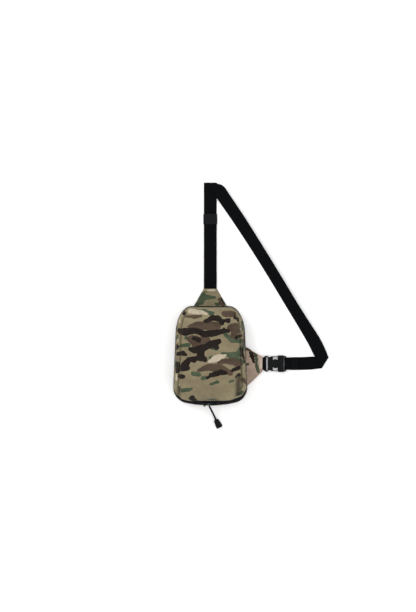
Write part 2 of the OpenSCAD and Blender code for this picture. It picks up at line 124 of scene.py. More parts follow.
class Look:
    """One procedural material, and short names for its nodes."""

    def __init__(self, name, roughness, specular=0.5, metallic=0.0, sheen=0.0):
        self.material = bpy.data.materials.new(name)
        self.material.use_nodes = True
        self.tree = self.material.node_tree
        self.shader = self.tree.nodes["Principled BSDF"]
        self.shader.inputs["Roughness"].default_value = roughness
        self.shader.inputs["Specular IOR Level"].default_value = specular
        self.shader.inputs["Metallic"].default_value = metallic
        self.shader.inputs["Sheen Weight"].default_value = sheen
        self.shader.inputs["Sheen Roughness"].default_value = 0.4

    def node(self, kind, **settings):
        node = self.tree.nodes.new(kind)
        for key, value in settings.items():
            setattr(node, key, value)
        return node

    def put(self, value, socket):
        if isinstance(value, bpy.types.NodeSocket):
            self.tree.links.new(value, socket)
        elif isinstance(value, tuple) and socket.type == "RGBA":
            socket.default_value = (*value, 1)
        else:
            socket.default_value = value

    def math(self, operation, a, b=0.0, clamp=False):
        node = self.node("ShaderNodeMath", operation=operation, use_clamp=clamp)
        self.put(a, node.inputs[0])
        self.put(b, node.inputs[1])
        return node.outputs[0]

    def plus(self, a, b, clamp=False):
        return self.math("ADD", a, b, clamp)

    def minus(self, a, b):
        return self.math("SUBTRACT", a, b)

    def times(self, a, b, clamp=False):
        return self.math("MULTIPLY", a, b, clamp)

    def sum(self, a, part_a, b, part_b):
        return self.plus(self.times(a, part_a), self.times(b, part_b))

    def coordinates(self, kind):
        return self.node("ShaderNodeTexCoord").outputs[kind]

    def attribute(self, name, output="Vector"):
        return self.node("ShaderNodeAttribute", attribute_name=name).outputs[output]

    def split(self, vector):
        node = self.node("ShaderNodeSeparateXYZ")
        self.put(vector, node.inputs[0])
        return node.outputs

    def cloth(self):
        """The cloth's own coordinates, and their parts: across, along and which face."""
        lay = self.attribute("lay")
        return lay, *self.split(lay)

    def stretch(self, vector, scale, shift=(0, 0, 0)):
        node = self.node("ShaderNodeMapping")
        self.put(vector, node.inputs["Vector"])
        node.inputs["Scale"].default_value = scale
        node.inputs["Location"].default_value = shift
        return node.outputs[0]

    def noise(self, vector, scale, detail=2.0, rough=0.5, bend=0.0):
        node = self.node("ShaderNodeTexNoise")
        self.put(vector, node.inputs["Vector"])
        node.inputs["Scale"].default_value = scale
        node.inputs["Detail"].default_value = detail
        node.inputs["Roughness"].default_value = rough
        node.inputs["Distortion"].default_value = bend
        return node.outputs[0]

    def mix(self, factor, a, b):
        node = self.node("ShaderNodeMix", data_type="RGBA")
        self.put(factor, node.inputs["Factor"])
        colours = [s for s in node.inputs if s.type == "RGBA"]
        self.put(a, colours[0])
        self.put(b, colours[1])
        return [s for s in node.outputs if s.type == "RGBA"][0]

    def edge(self, value, middle, soft):
        """0 below middle and 1 above it, over a width of soft."""
        scaled = self.times(self.minus(value, middle), 1 / soft)
        return self.plus(scaled, 0.5, clamp=True)

    def tones(self, value, middle, soft, low, high):
        """One colour where value is below middle, and another above it."""
        return self.mix(self.edge(value, middle, soft), low, high)

    def wave(self, value, pitch):
        """Runs from 0 to 1 and back in each pitch, in metres."""
        swing = self.math("SINE", self.times(value, 2 * math.pi / pitch))
        return self.plus(self.times(swing, 0.5), 0.5)

    def weave(self, across, along, pitch):
        """Height of a plain weave: warp and weft take turns on top."""
        warp = self.wave(across, pitch)
        weft = self.wave(along, pitch)
        turn_a = self.wave(across, 2 * pitch)
        turn_b = self.wave(along, 2 * pitch)
        same = self.times(turn_a, turn_b)
        other = self.times(self.minus(1, turn_a), self.minus(1, turn_b))
        turn = self.plus(same, other)
        up = self.times(warp, turn)
        down = self.times(weft, self.minus(1, turn))
        return self.plus(up, down)

    def finish(self, colour, height=None, depth=0.0, rough=None):
        """Links the colour, a height of depth millimetres and a roughness range."""
        self.put(colour, self.shader.inputs["Base Color"])
        if rough is not None:
            low, high, driver = rough
            span = self.times(driver, high - low)
            self.put(self.plus(span, low), self.shader.inputs["Roughness"])
        if height is not None:
            bump = self.node("ShaderNodeBump")
            bump.inputs["Distance"].default_value = depth * MM
            self.put(height, bump.inputs["Height"])
            self.put(bump.outputs[0], self.shader.inputs["Normal"])
        return self.material


TAN = rgb(141, 131, 103)
TAN_WARM = rgb(124, 112, 88)
OLIVE = rgb(78, 88, 68)
GREEN = rgb(60, 74, 54)
BROWN = rgb(83, 68, 55)
BROWN_DEEP = rgb(71, 57, 47)
DARK = rgb(26, 18, 16)
PALE = rgb(186, 173, 152)
PINK = rgb(186, 163, 146)
PINK_DEEP = rgb(164, 143, 126)
PINK_PALE = rgb(204, 186, 172)
# Colour of the painted shade in the seams, along the zip edge and in the corner folds.
PAINTED_SHADE = rgb(34, 30, 20)
# How far noise moves the edge of a printed blotch, in stroke units.
ROUGHEN = 1.5


def camo_look(name, base, base_deep, soft_green, light):
    """Printed woven cloth: soft ground, then green, brown, pale and dark blotches."""
    look = Look(name, roughness=0.85, specular=0.12, sheen=0.06)
    lay = look.attribute("lay")
    blots = look.split(look.attribute("blots"))
    pale = look.attribute("pale", "Fac")
    flat = look.stretch(lay, (0.62, 1.15, 1))
    shape_a = look.noise(flat, 34, 3.5, 0.5, 1.0)
    shape_b = look.noise(look.stretch(flat, (1, 1, 1), (3.1, 1.7, 0)), 38, 3.5, 0.5, 1.0)
    ground = look.noise(look.stretch(lay, (0.6, 1.3, 1), (0.9, 4.1, 0)), 14, 2)
    colour = look.tones(ground, 0.5, 0.3, base, base_deep)
    shade = look.noise(look.stretch(lay, (0.8, 2.2, 1), (7.3, 0.4, 0)), 22, 3)

    def blotch(under, field, shape, ink, middle=0.0, soft=0.05):
        """Prints one ink where its field, roughened by noise, is above middle."""
        swing = look.times(look.minus(shape, 0.5), ROUGHEN)
        return look.tones(look.plus(field, swing), middle, soft, under, ink)

    green = look.tones(shade, 0.52, 0.2, soft_green, OLIVE)
    brown = look.tones(shade, 0.48, 0.25, BROWN_DEEP, BROWN)
    colour = blotch(colour, blots[2], shape_b, green, soft=0.07)
    colour = blotch(colour, blots[1], shape_a, brown, -0.06)
    colour = blotch(colour, pale, shape_b, light)
    colour = blotch(colour, blots[0], shape_b, DARK, -0.1)
    # Painted shade: darkens the cloth in its seams, along the zip edge and in the corner folds.
    painted_shade = look.times(look.attribute("painted_shade", "Fac"), 0.8, clamp=True)
    colour = look.mix(painted_shade, colour, PAINTED_SHADE)
    across, along, _ = look.split(lay)
    weave = look.weave(across, along, 0.9 * MM)
    slub = look.noise(look.stretch(lay, (90, 900, 1)), 1, 2)
    slub_b = look.noise(look.stretch(lay, (900, 90, 1)), 1, 2)
    thread = look.times(look.plus(slub, slub_b), 0.5)
    wear = look.noise(lay, 55, 4, 0.65)
    tint = look.sum(thread, 0.5, wear, 0.5)
    shaded = look.mix(0.22, colour, (0.05, 0.045, 0.035))
    colour = look.tones(tint, 0.5, 0.22, shaded, colour)
    height = look.plus(weave, look.times(thread, 0.8))
    return look.finish(colour, height, 0.16, (0.78, 0.92, wear))


def webbing_look(name, base, lit):
    """Nylon webbing, ribbed on one face and chequered on the other."""
    look = Look(name, roughness=0.75, specular=0.04)
    lay, across, along, face = look.cloth()
    ribs = look.wave(across, 1.3 * MM)
    picks = look.wave(along, 0.9 * MM)
    ribbed = look.plus(ribs, look.times(picks, 0.35))
    check = look.weave(across, along, 1.9 * MM)
    height_b = look.times(check, 1.2)
    height = look.plus(ribbed, look.times(look.minus(height_b, ribbed), face))
    wear = look.noise(look.stretch(lay, (260, 40, 1)), 1, 3)
    # Painted highlight: the raised ribs and checks are painted lighter, together with random wear.
    highlight_and_mottle = look.sum(height, 0.4, wear, 0.7)
    colour = look.tones(highlight_and_mottle, 0.6, 0.7, base, lit)
    return look.finish(colour, height, 0.22, (0.62, 0.85, wear))


def ribbed_look(name, base, lit, pitch, depth, specular=0.06):
    """Narrow tapes: binding, elastic and zip tape, ribbed across their length."""
    look = Look(name, roughness=0.8, specular=specular)
    lay, across, along, _ = look.cloth()
    ribs = look.times(look.wave(along, pitch * MM), look.wave(across, 1.1 * pitch * MM))
    wear = look.noise(lay, 160, 4, 0.6)
    # Painted highlight: the raised ribs are painted lighter, together with random wear.
    highlight_and_mottle = look.sum(ribs, 0.6, wear, 0.6)
    colour = look.tones(highlight_and_mottle, 0.45, 0.6, base, lit)
    return look.finish(colour, ribs, depth, (0.68, 0.88, wear))


def nylon_look(name, base, lit, pitch):
    """Plain coated lining and seam cloth."""
    look = Look(name, roughness=0.6, specular=0.25, sheen=0.05)
    lay, across, along, _ = look.cloth()
    weave = look.weave(across, along, pitch * MM)
    cloud = look.noise(lay, 24, 4, 0.6)
    # Painted highlight: the raised threads of the weave are painted a little lighter, together with random
    # cloud.
    highlight_and_mottle = look.sum(weave, 0.35, cloud, 0.7)
    colour = look.tones(highlight_and_mottle, 0.5, 0.5, base, lit)
    return look.finish(colour, weave, 0.12, (0.5, 0.72, cloud))


def mesh_look():
    """Spacer mesh: rows of round holes, painted darker inside as shade."""
    look = Look("mesh", roughness=0.85, specular=0.1, sheen=0.05)
    lay, across, along, _ = look.cloth()
    dimple = look.times(look.wave(across, 3.2 * MM), look.wave(along, 2.6 * MM))
    knit = look.weave(across, along, 0.8 * MM)
    cloud = look.noise(lay, 40, 3)
    # Painted shade: the sunken holes are painted darker than the mesh around them.
    colour = look.tones(dimple, 0.5, 0.4, rgb(44, 46, 48), rgb(14, 15, 16))
    colour = look.mix(look.times(cloud, 0.3), colour, rgb(60, 62, 64))
    height = look.minus(look.times(knit, 0.3), dimple)
    return look.finish(colour, height, 0.5, (0.75, 0.9, cloud))


def plastic_look(name, base, lit, low, high):
    """Moulded acetal with a fine spark-eroded grain and scuffs."""
    look = Look(name, roughness=0.5, specular=0.14)
    place = look.coordinates("Object")
    grain = look.noise(place, 2600, 2, 0.6)
    cloud = look.noise(place, 90, 4, 0.6)
    scuff = look.noise(look.stretch(place, (400, 60, 400)), 1, 5, 0.7)
    colour = look.tones(cloud, 0.5, 0.5, base, lit)
    colour = look.tones(scuff, 0.7, 0.1, colour, rgb(24, 26, 28))
    return look.finish(colour, grain, 0.03, (low, high, cloud))


def metal_look():
    """Dark plated zinc, rubbed lighter in places."""
    look = Look("gunmetal", roughness=0.35, specular=0.5, metallic=0.85)
    place = look.coordinates("Object")
    cast = look.noise(place, 700, 4, 0.6)
    rub = look.noise(place, 220, 3, 0.6)
    colour = look.tones(rub, 0.55, 0.3, rgb(40, 42, 46), rgb(78, 80, 85))
    return look.finish(colour, cast, 0.04, (0.26, 0.46, rub))


def cord_look():
    """Black braid with a fine strand grain."""
    look = Look("cord", roughness=0.75, specular=0.05)
    lay, across, along, _ = look.cloth()
    strand = look.wave(look.plus(across, along), 0.5 * MM)
    fuzz = look.noise(lay, 900, 3)
    # Painted highlight: the raised strands are painted lighter, together with random fuzz.
    highlight_and_mottle = look.sum(strand, 0.6, fuzz, 0.5)
    colour = look.tones(highlight_and_mottle, 0.55, 0.6, rgb(2, 2, 3), rgb(9, 9, 11))
    return look.finish(colour, strand, 0.12, (0.6, 0.8, fuzz))


def thread_look(name, base, lit):
    """Sewing thread with a fine twist."""
    look = Look(name, roughness=0.6, specular=0.25, sheen=0.05)
    place = look.coordinates("Object")
    twist = look.noise(look.stretch(place, (1, 1, 0.3)), 2400, 2)
    fade = look.noise(place, 60, 2)
    colour = look.tones(fade, 0.5, 0.4, base, lit)
    return look.finish(colour, twist, 0.06, (0.5, 0.7, twist))


LOOKS = {
    "camo": camo_look("camo", TAN, TAN_WARM, GREEN, PALE),
    "camo_wing": camo_look("camo_wing", PINK, PINK_DEEP, rgb(62, 76, 58), PINK_PALE),
    "webbing": webbing_look("webbing", rgb(3, 4, 5), rgb(12, 14, 16)),
    "webbing_wing": webbing_look("webbing_wing", rgb(5, 6, 10), rgb(17, 19, 26)),
    "binding": ribbed_look("binding", rgb(12, 13, 13), rgb(32, 34, 33), 1.4, 0.2),
    "elastic": ribbed_look("elastic", rgb(6, 7, 8), rgb(34, 37, 39), 2.4, 0.4),
    "zip_tape": ribbed_look("zip_tape", rgb(6, 7, 10), rgb(20, 22, 27), 0.8, 0.12),
    "lining": nylon_look("lining", rgb(46, 49, 47), rgb(66, 69, 66), 0.7),
    "mesh": mesh_look(),
    "plastic": plastic_look("plastic", rgb(2, 3, 4), rgb(8, 10, 12), 0.44, 0.6),
    "zip_coil": plastic_look("zip_coil", rgb(12, 13, 15), rgb(30, 31, 34), 0.3, 0.45),
    "gunmetal": metal_look(),
    "cord": cord_look(),
    "thread_tan": thread_look("thread_tan", rgb(96, 88, 66), rgb(128, 118, 92)),
    "thread_black": thread_look("thread_black", rgb(16, 17, 19), rgb(38, 40, 42)),
}


# ---- Mesh helpers ----
def smooth(value, low, high):
    """0 below low, 1 above high and an even curve between."""
    t = np.clip((np.asarray(value, float) - low) / (high - low), 0, 1)
    return t * t * (3 - 2 * t)


def unit(vectors):
    """The vectors scaled to length 1."""
    vectors = np.asarray(vectors, float)
    return vectors / np.maximum(np.linalg.norm(vectors, axis=-1, keepdims=True), 1e-9)


def grid_faces(rows, columns, around=False, capped=False):
    """Quads of a grid whose points run row by row, closed by a face at each end if capped."""
    faces = []
    for row in range(rows - 1):
        low, high = row * columns, (row + 1) * columns
        for c in range(columns if around else columns - 1):
            d = (c + 1) % columns
            faces.append((low + c, low + d, high + d, high + c))
    if capped:
        faces.append(tuple(reversed(range(columns))))
        faces.append(tuple(range((rows - 1) * columns, rows * columns)))
    return faces


def set_attribute(mesh, name, values):
    """Stores a number or a vector per point."""
    kind, field = ("FLOAT", "value") if values.ndim == 1 else ("FLOAT_VECTOR", "vector")
    mesh.attributes.new(name, kind, "POINT").data.foreach_set(field, values.ravel())


def piece(name, points, faces, look, body, lay=None, nodes=(), slot=None, blots=None, flat=False,
          painted_shade=None):
    """Makes a mesh piece from millimetre points, puts it on its CAD body and replaces the CAD
    nodes named. Its slot argument is not used."""
    mesh = bpy.data.meshes.new(name)
    mesh.from_pydata((np.asarray(points, float) * MM).tolist(), [], [tuple(f) for f in faces])
    mesh.polygons.foreach_set("use_smooth", [not flat] * len(mesh.polygons))
    if lay is not None:
        lay = np.asarray(lay, float)
        if lay.shape[1] == 2:
            lay = np.column_stack([lay, np.zeros(len(lay))])
        set_attribute(mesh, "lay", lay * [MM, MM, 1])
    if blots is not None:
        inks = [blot_field(lay, blots[kind]) for kind in ("dark", "brown", "green")]
        set_attribute(mesh, "blots", np.column_stack(inks))
        set_attribute(mesh, "pale", blot_field(lay, blots["pale"]))
    # A per-point amount of painted shade, for the darkened seams and folds.
    if painted_shade is not None:
        set_attribute(mesh, "painted_shade", np.clip(painted_shade, 0, 1))
    mesh.update()
    obj = bpy.data.objects.new(name, mesh)
    bpy.context.scene.collection.objects.link(obj)
    mesh.materials.append(LOOKS[look])
    if body:
        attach(obj, body)
    if nodes:
        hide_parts(*nodes)
    return obj


def add_modifier(obj, kind, **settings):
    modifier = obj.modifiers.new(kind.lower(), kind)
    for key, value in settings.items():
        setattr(modifier, key, value)
    return modifier


def thicken(obj, thickness, offset=-1.0, levels=0):
    """Gives a sheet its cloth thickness, after one smoothing if asked."""
    if levels:
        add_modifier(obj, "SUBSURF", levels=levels, render_levels=levels)
    add_modifier(obj, "SOLIDIFY", thickness=thickness * MM, offset=offset)


def frames_along(path):
    """Unit tangents and two side directions carried along a path without twisting."""
    tangents = unit(np.gradient(path, axis=0))
    side = np.cross(tangents[0], UP)
    if np.linalg.norm(side) < 1e-3:
        side = np.cross(tangents[0], (1, 0, 0))
    sides = []
    for tangent in tangents:
        side = side - tangent * np.dot(side, tangent)
        side = side / np.linalg.norm(side)
        sides.append(side)
    sides = np.array(sides)
    return tangents, sides, np.cross(tangents, sides)


def tube(path, radius, sides=10, relief=None):
    """Points and faces of a capped tube; relief(angle, length) scales its radius."""
    path = np.asarray(path, float)
    _, side, lift = frames_along(path)
    lengths = lengths_along(path)
    radius = np.broadcast_to(np.asarray(radius, float), (len(path),))
    angles = np.linspace(0, 2 * math.pi, sides, endpoint=False)
    points, lay = [], []
    for i, centre in enumerate(path):
        r = radius[i] * (relief(angles, lengths[i]) if relief else 1.0)
        ring = np.cos(angles)[:, None] * side[i] + np.sin(angles)[:, None] * lift[i]
        points.append(centre + ring * np.broadcast_to(r, (sides,))[:, None])
        lay.append(np.column_stack([angles * radius[i], np.full(sides, lengths[i])]))
    faces = grid_faces(len(path), sides, around=True, capped=True)
    return np.concatenate(points), faces, np.concatenate(lay)


def turned(faces):
    """The same faces looking the other way."""
    return [tuple(reversed(face)) for face in faces]


def joined(parts):
    """One list of points and faces from several."""
    points, faces, count = [], [], 0
    for part in parts:
        points.append(np.asarray(part[0], float))
        faces += [tuple(i + count for i in face) for face in part[1]]
        count += len(part[0])
    return np.concatenate(points), faces


def prism(outline, low, high, bevel):
    """An extruded outline with rounded edges."""
    mesh = bmesh.new()
    ring = [mesh.verts.new((x, y, low)) for x, y in outline]
    face = mesh.faces.new(ring)
    made = bmesh.ops.extrude_face_region(mesh, geom=[face])
    top = [v for v in made["geom"] if isinstance(v, bmesh.types.BMVert)]
    bmesh.ops.translate(mesh, verts=top, vec=(0, 0, high - low))
    bmesh.ops.recalc_face_normals(mesh, faces=mesh.faces)
    sharp = [e for e in mesh.edges if e.calc_face_angle(0) > math.radians(28)]
    bmesh.ops.bevel(mesh, geom=sharp, offset=bevel, segments=2, profile=0.5,
                    affect="EDGES", clamp_overlap=True)
    mesh.verts.index_update()
    points = np.array([v.co[:] for v in mesh.verts])
    faces = sorted(tuple(v.index for v in f.verts) for f in mesh.faces)
    mesh.free()
    return points, faces


def box_prism(x0, x1, y0, y1, z0, z1, bevel):
    return prism([(x0, y0), (x1, y0), (x1, y1), (x0, y1)], z0, z1, bevel)


def spline(points, count):
    """Catmull-Rom curve through the points, count samples evenly spaced in length."""
    points = np.asarray(points, float)
    padded = np.vstack([2 * points[0] - points[1], points, 2 * points[-1] - points[-2]])
    fine = []
    for i in range(1, len(padded) - 2):
        a, b, c, d = padded[i - 1:i + 3]
        for t in np.linspace(0, 1, 12, endpoint=False):
            fine.append(0.5 * (2 * b + (c - a) * t + (2 * a - 5 * b + 4 * c - d) * t ** 2
                               + (3 * b - a - 3 * c + d) * t ** 3))
    fine.append(points[-1])
    return resample(np.array(fine), count)


def resample(path, count):
    """The same path with count points evenly spaced in length."""
    path = np.asarray(path, float)
    lengths = lengths_along(path)
    at = np.linspace(0, lengths[-1], count)
    return np.column_stack([np.interp(at, lengths, path[:, k]) for k in range(path.shape[1])])


def lengths_along(path):
    """Distance from the start of a path to each of its points."""
    return np.concatenate([[0], np.cumsum(np.linalg.norm(np.diff(path, axis=0), axis=1))])


def path_length(path):
    return float(np.linalg.norm(np.diff(path, axis=0), axis=1).sum())


def node_box(node):
    """Low and high corner of a CAD node at rest, in mm."""
    low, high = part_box(node)
    return np.array(low) / MM, np.array(high) / MM


def ripple(points, size, height, seed=0.0):
    """Smooth noise of about height mm, in waves of about size mm."""
    return np.array([noise.noise(Vector((p[0] / size + seed, p[1] / size - seed, p[2] / size)))
                     for p in points]) * height


def stitch_parts(path, normals):
    """A row of thread stitches along a path on a surface."""
    pitch, length, radius, lift = 3.4, 2.4, 0.3, 0.12
    path = np.asarray(path, float)
    normals = np.broadcast_to(np.asarray(normals, float), path.shape)
    count = max(2, int(path_length(path) / pitch))
    both = resample(np.hstack([path, normals * 1e-6]), count * 2 + 1)
    parts = []
    # Each stitch dips into the cloth at both ends.
    stations = np.array([-0.5, -0.36, 0, 0.36, 0.5])
    heights = np.array([-0.9, 0.1, 0.5, 0.1, -0.9])
    for i in range(1, count * 2, 2):
        centre = both[i, :3]
        normal = unit(both[i, 3:])
        forward = unit(both[min(i + 1, count * 2), :3] - both[i - 1, :3])
        run = [centre + forward * s * length + normal * (h * radius + lift)
               for s, h in zip(stations, heights)]
        parts.append(tube(run, radius * np.array([0.5, 0.9, 1, 0.9, 0.5]), 5)[:2])
    return parts


def seam(points):
    """One stitch row that faces up."""
    return np.array(points, float), UP


def seams(corners):
    """Stitch rows along each side of a chain of corners."""
    return [seam(pair) for pair in zip(corners, corners[1:])]


def seam_on(line, height, lift):
    """A stitch row along a line on a cloth whose height is known."""
    return seam([(x, y, height(x, y) + lift) for x, y in line])


def seams_on(corners, height, lift):
    """Stitch rows along each side of a chain of corners on such a cloth."""
    return [seam_on(np.linspace(a, b, 10), height, lift) for a, b in zip(corners, corners[1:])]


def stitches(name, rows, look, body, slot):
    """Rows of thread, each a path and the way its surface faces, as one piece."""
    parts = []
    for path, normals in rows:
        parts += stitch_parts(path, normals)
    return piece(name, *joined(parts), look, body, slot=slot)


def inside(ring, x, y):
    """Whether a point lies in a closed outline, by the edges that a ray from it crosses."""
    hit = False
    ahead = np.roll(ring, -1, axis=0)
    for (x0, y0), (x1, y1) in zip(ring, ahead):
        if (y0 > y) != (y1 > y) and x < (x1 - x0) * (y - y0) / (y1 - y0) + x0:
            hit = not hit
    return hit


def filled(rim, spacing):
    """Lattice points inside a closed outline, and the triangles that join both up;
    the outline's own points come first in the numbering."""
    inner = rim - outward(rim) * 0.6 * spacing
    low, high = inner.min(axis=0), inner.max(axis=0)
    lattice = []
    for row, y in enumerate(np.arange(low[1], high[1], spacing * 0.866)):
        for x in np.arange(low[0] + (row % 2) * spacing / 2, high[0], spacing):
            if inside(inner, x, y):
                lattice.append((x, y))
    flat = [Vector(p) for p in rim] + [Vector(p) for p in lattice]
    edges = [(k, (k + 1) % len(rim)) for k in range(len(rim))]
    _, _, triangles, source, _, _ = delaunay_2d_cdt(flat, edges, [], 1, 1e-5)
    faces = []
    for triangle in triangles:
        a, b, c = (source[k][0] for k in triangle)
        area = (flat[b] - flat[a]).cross(flat[c] - flat[a])
        faces.append((a, b, c) if area > 0 else (a, c, b))
    return np.array(lattice), faces


# ---- Camouflage layout ----
# A blotch is a stroke: a chain of (x, y, radius) in mm on the cloth.
STROKE_UNIT = 10.0


def blot_field(lay, strokes):
    """How far inside the nearest stroke each point is, in stroke units: above 0 inside."""
    best = np.full(len(lay), -1.0)
    for stroke in strokes:
        for (xa, ya, ra), (xb, yb, rb) in zip(stroke, stroke[1:] or stroke):
            dx, dy = lay[:, 0] - xa, lay[:, 1] - ya
            span = max((xb - xa) ** 2 + (yb - ya) ** 2, 1e-6)
            t = np.clip((dx * (xb - xa) + dy * (yb - ya)) / span, 0, 1)
            distance = np.hypot(dx - t * (xb - xa), dy - t * (yb - ya))
            best = np.maximum(best, (ra + t * (rb - ra) - distance) / STROKE_UNIT)
    return np.clip(best, -1, 1)


def scattered_blots(seed, x0, x1, y0, y1):
    """Strokes strewn over a rectangle, for the pieces away from the front."""
    draw = random.Random(seed)
    # Cloth area for each stroke, a stroke's length and its radius.
    per_kind = {"dark": (2600, 26, 8), "brown": (4200, 34, 10), "green": (2800, 30, 7),
                "pale": (5200, 16, 5)}
    blots = {}
    for kind, (area, long, radius) in per_kind.items():
        blots[kind] = []
        for _ in range(max(1, int((x1 - x0) * (y1 - y0) / area))):
            x, y = draw.uniform(x0, x1), draw.uniform(y0, y1)
            stroke = []
            for _ in range(3):
                stroke.append((x, y, radius * draw.uniform(0.4, 1.2)))
                x += long / 2 * draw.uniform(0.6, 1.2)
                y += draw.uniform(-8, 8)
            blots[kind].append(stroke)
    return blots


PANEL_BLOTS = {
    "dark": [
        [(-94, 75, 6), (-70, 71, 10), (-42, 75, 8), (-18, 66, 9), (14, 69, 6), (38, 77, 5), (52, 74, 3)],
        [(-14, 102, 4), (8, 110, 8), (26, 106, 6), (52, 102, 5)], [(20, 112, 6), (34, 98, 6)],
        [(24, 46, 6), (4, 38, 9), (-14, 26, 9), (-44, 18, 9), (-64, 24, 3)], [(10, 40, 9), (17, 28, 6)],
        [(-26, 20, 11), (-30, 2, 10), (-16, -7, 6)], [(-30, -4, 8), (-60, -9, 6), (-78, -30, 12)],
        [(-98, -22, 9), (-96, -38, 8)], [(-78, -28, 12), (-66, -33, 8)],
        [(-98, 8, 5), (-82, 11, 7), (-70, 7, 3)], [(-48, 54, 5), (-34, 49, 6)],
        [(-90, -58, 5), (-78, -56, 4)], [(84, -54, 5), (74, -58, 3)], [(79, 106, 5), (70, 113, 4)],
        [(90, 62, 5), (74, 55, 5)], [(-6, -58, 4), (8, -50, 5), (30, -43, 6), (44, -47, 3)],
        [(60, -40, 2), (84, -32, 4)], [(-52, -118, 8), (-46, -126, 7)], [(-98, 28, 6), (-100, 40, 3)],
        [(-78, 124, 5), (-84, 130, 7)], [(94, 20, 4), (98, 4, 6), (104, -12, 5)],
        [(112, 60, 8), (124, 40, 6)], [(-116, -70, 7), (-128, -88, 6)], [(-112, 88, 7), (-126, 70, 5)],
        [(106, 100, 5), (118, 92, 7)]],
    "brown": [
        [(-58, 86, 6), (-22, 92, 9), (18, 88, 13)], [(-22, 82, 6), (10, 80, 7)],
        [(-60, 52, 9), (-38, 42, 19), (-10, 47, 10)], [(60, 84, 10), (70, 76, 14), (66, 62, 8)],
        [(78, 92, 5), (62, 86, 8)], [(40, 124, 9), (66, 122, 9)],
        [(-34, -38, 5), (-6, -30, 9), (30, -34, 11), (56, -45, 9)],
        [(26, -12, 6), (56, -14, 9), (86, -20, 7)], [(-72, 117, 3), (-48, 114, 5), (-26, 118, 3)],
        [(104, 46, 7), (122, 30, 8)], [(100, -66, 6), (116, -80, 7)], [(-108, 30, 7), (-124, 10, 8)]],
    "green": [
        [(34, 9, 5), (60, 6, 9), (86, 8, 10), (100, 30, 9)], [(58, -4, 6), (90, -14, 9)],
        [(44, 62, 5), (62, 50, 9), (92, 46, 8)], [(-84, 34, 7), (-64, 34, 8)], [(-72, 56, 5), (-52, 50, 6)],
        [(-50, -46, 5), (-34, -48, 6)], [(-22, -60, 4), (-8, -58, 4)], [(0, -78, 3), (20, -73, 6)],
        [(54, -72, 3), (64, -68, 4)], [(-80, -96, 6), (-60, -94, 6), (-42, -87, 2)],
        [(-22, -130, 4), (22, -130, 4)], [(-44, 138, 4), (-14, 136, 5), (4, 126, 8)],
        [(-38, 121, 4), (-20, 118, 4)], [(2, -4, 6)], [(2, 24, 5), (16, 22, 5)], [(96, 96, 6), (98, 78, 5)],
        [(84, -112, 6), (96, -104, 7)], [(-100, 60, 6), (-112, 52, 7)], [(-104, -6, 5), (-118, -22, 7)]],
    "pale": [
        [(-58, 134, 8), (-34, 129, 8), (-12, 123, 4)], [(-2, -14, 4), (14, -6, 8), (30, 3, 6), (44, 4, 4)],
        [(-92, 110, 5), (-90, 98, 4)], [(88, 80, 4)], [(-98, 46, 5)], [(-98, -52, 3), (-98, -66, 4)],
        [(-90, -80, 3)]],
}
TAB_BLOTS = {
    "dark": [
        [(-13, 191, 3), (-8, 184, 2)], [(34, 167, 2), (45, 156, 3)]],
    "brown": [
        [(29, 166, 5), (39, 158, 9)], [(28, 156, 4)]],
    "green": [
        [(-18, 187, 5), (-23, 176, 10), (-27, 164, 11)], [(-16, 174, 9), (2, 173, 5), (14, 172, 3)],
        [(-44, 151, 6), (-24, 158, 7)], [(22, 150, 7), (14, 154, 3)]],
    "pale": [
        [(-11, 193, 4), (13, 193, 4)]],
}
WING_BLOTS = {
    "dark": [
        [(118, 14, 4), (123, 0, 5), (129, -19, 3)]],
    "brown": [
        [(104, 21, 5), (116, 17, 4)], [(124, 10, 3), (130, 6, 3)]],
    "green": [
        [(133, 7, 4), (136, -10, 4), (137, -30, 5), (141, -48, 5)], [(106, -26, 4), (112, -24, 3)],
        [(102, 18, 4)]],
    "pale": [
        [(149, -10, 3), (149, -36, 3)], [(104, -40, 4), (108, -52, 3)]],
}


# ---- Outline of the bag ----
# A wide arc below, round lower corners, straight sides and a quarter ellipse at each shoulder.
HALF_W, TOP_Y, BOTTOM_Y, BOTTOM_R, CORNER_R = 108.5, 146, 146, 330, 45
SHOULDER_X, SHOULDER_Y, WAIST_X = 55, 60, 102
CORNER_X = HALF_W - CORNER_R
CORNER_DOWN = math.sqrt((BOTTOM_R - CORNER_R) ** 2 - CORNER_X ** 2)
ARC_END = math.atan2(CORNER_X, CORNER_DOWN)
# How many points each part has, and the column where each part starts.
ARC_STEPS, CORNER_STEPS, SIDE_STEPS, SHOULDER_STEPS, TOP_STEPS = 16, 12, 37, 24, 13
SIDE_START = ARC_STEPS + CORNER_STEPS
SHOULDER_START = SIDE_START + SIDE_STEPS
HALF_N = SHOULDER_START + SHOULDER_STEPS + TOP_STEPS
LOOP_N = 2 * HALF_N
# Columns of the right half: where the gusset's seam starts, the zip's end, the gusset's top.
DART = ARC_STEPS + CORNER_STEPS // 2
ZIP_END = SHOULDER_START + 15
CREST = SHOULDER_START + 18


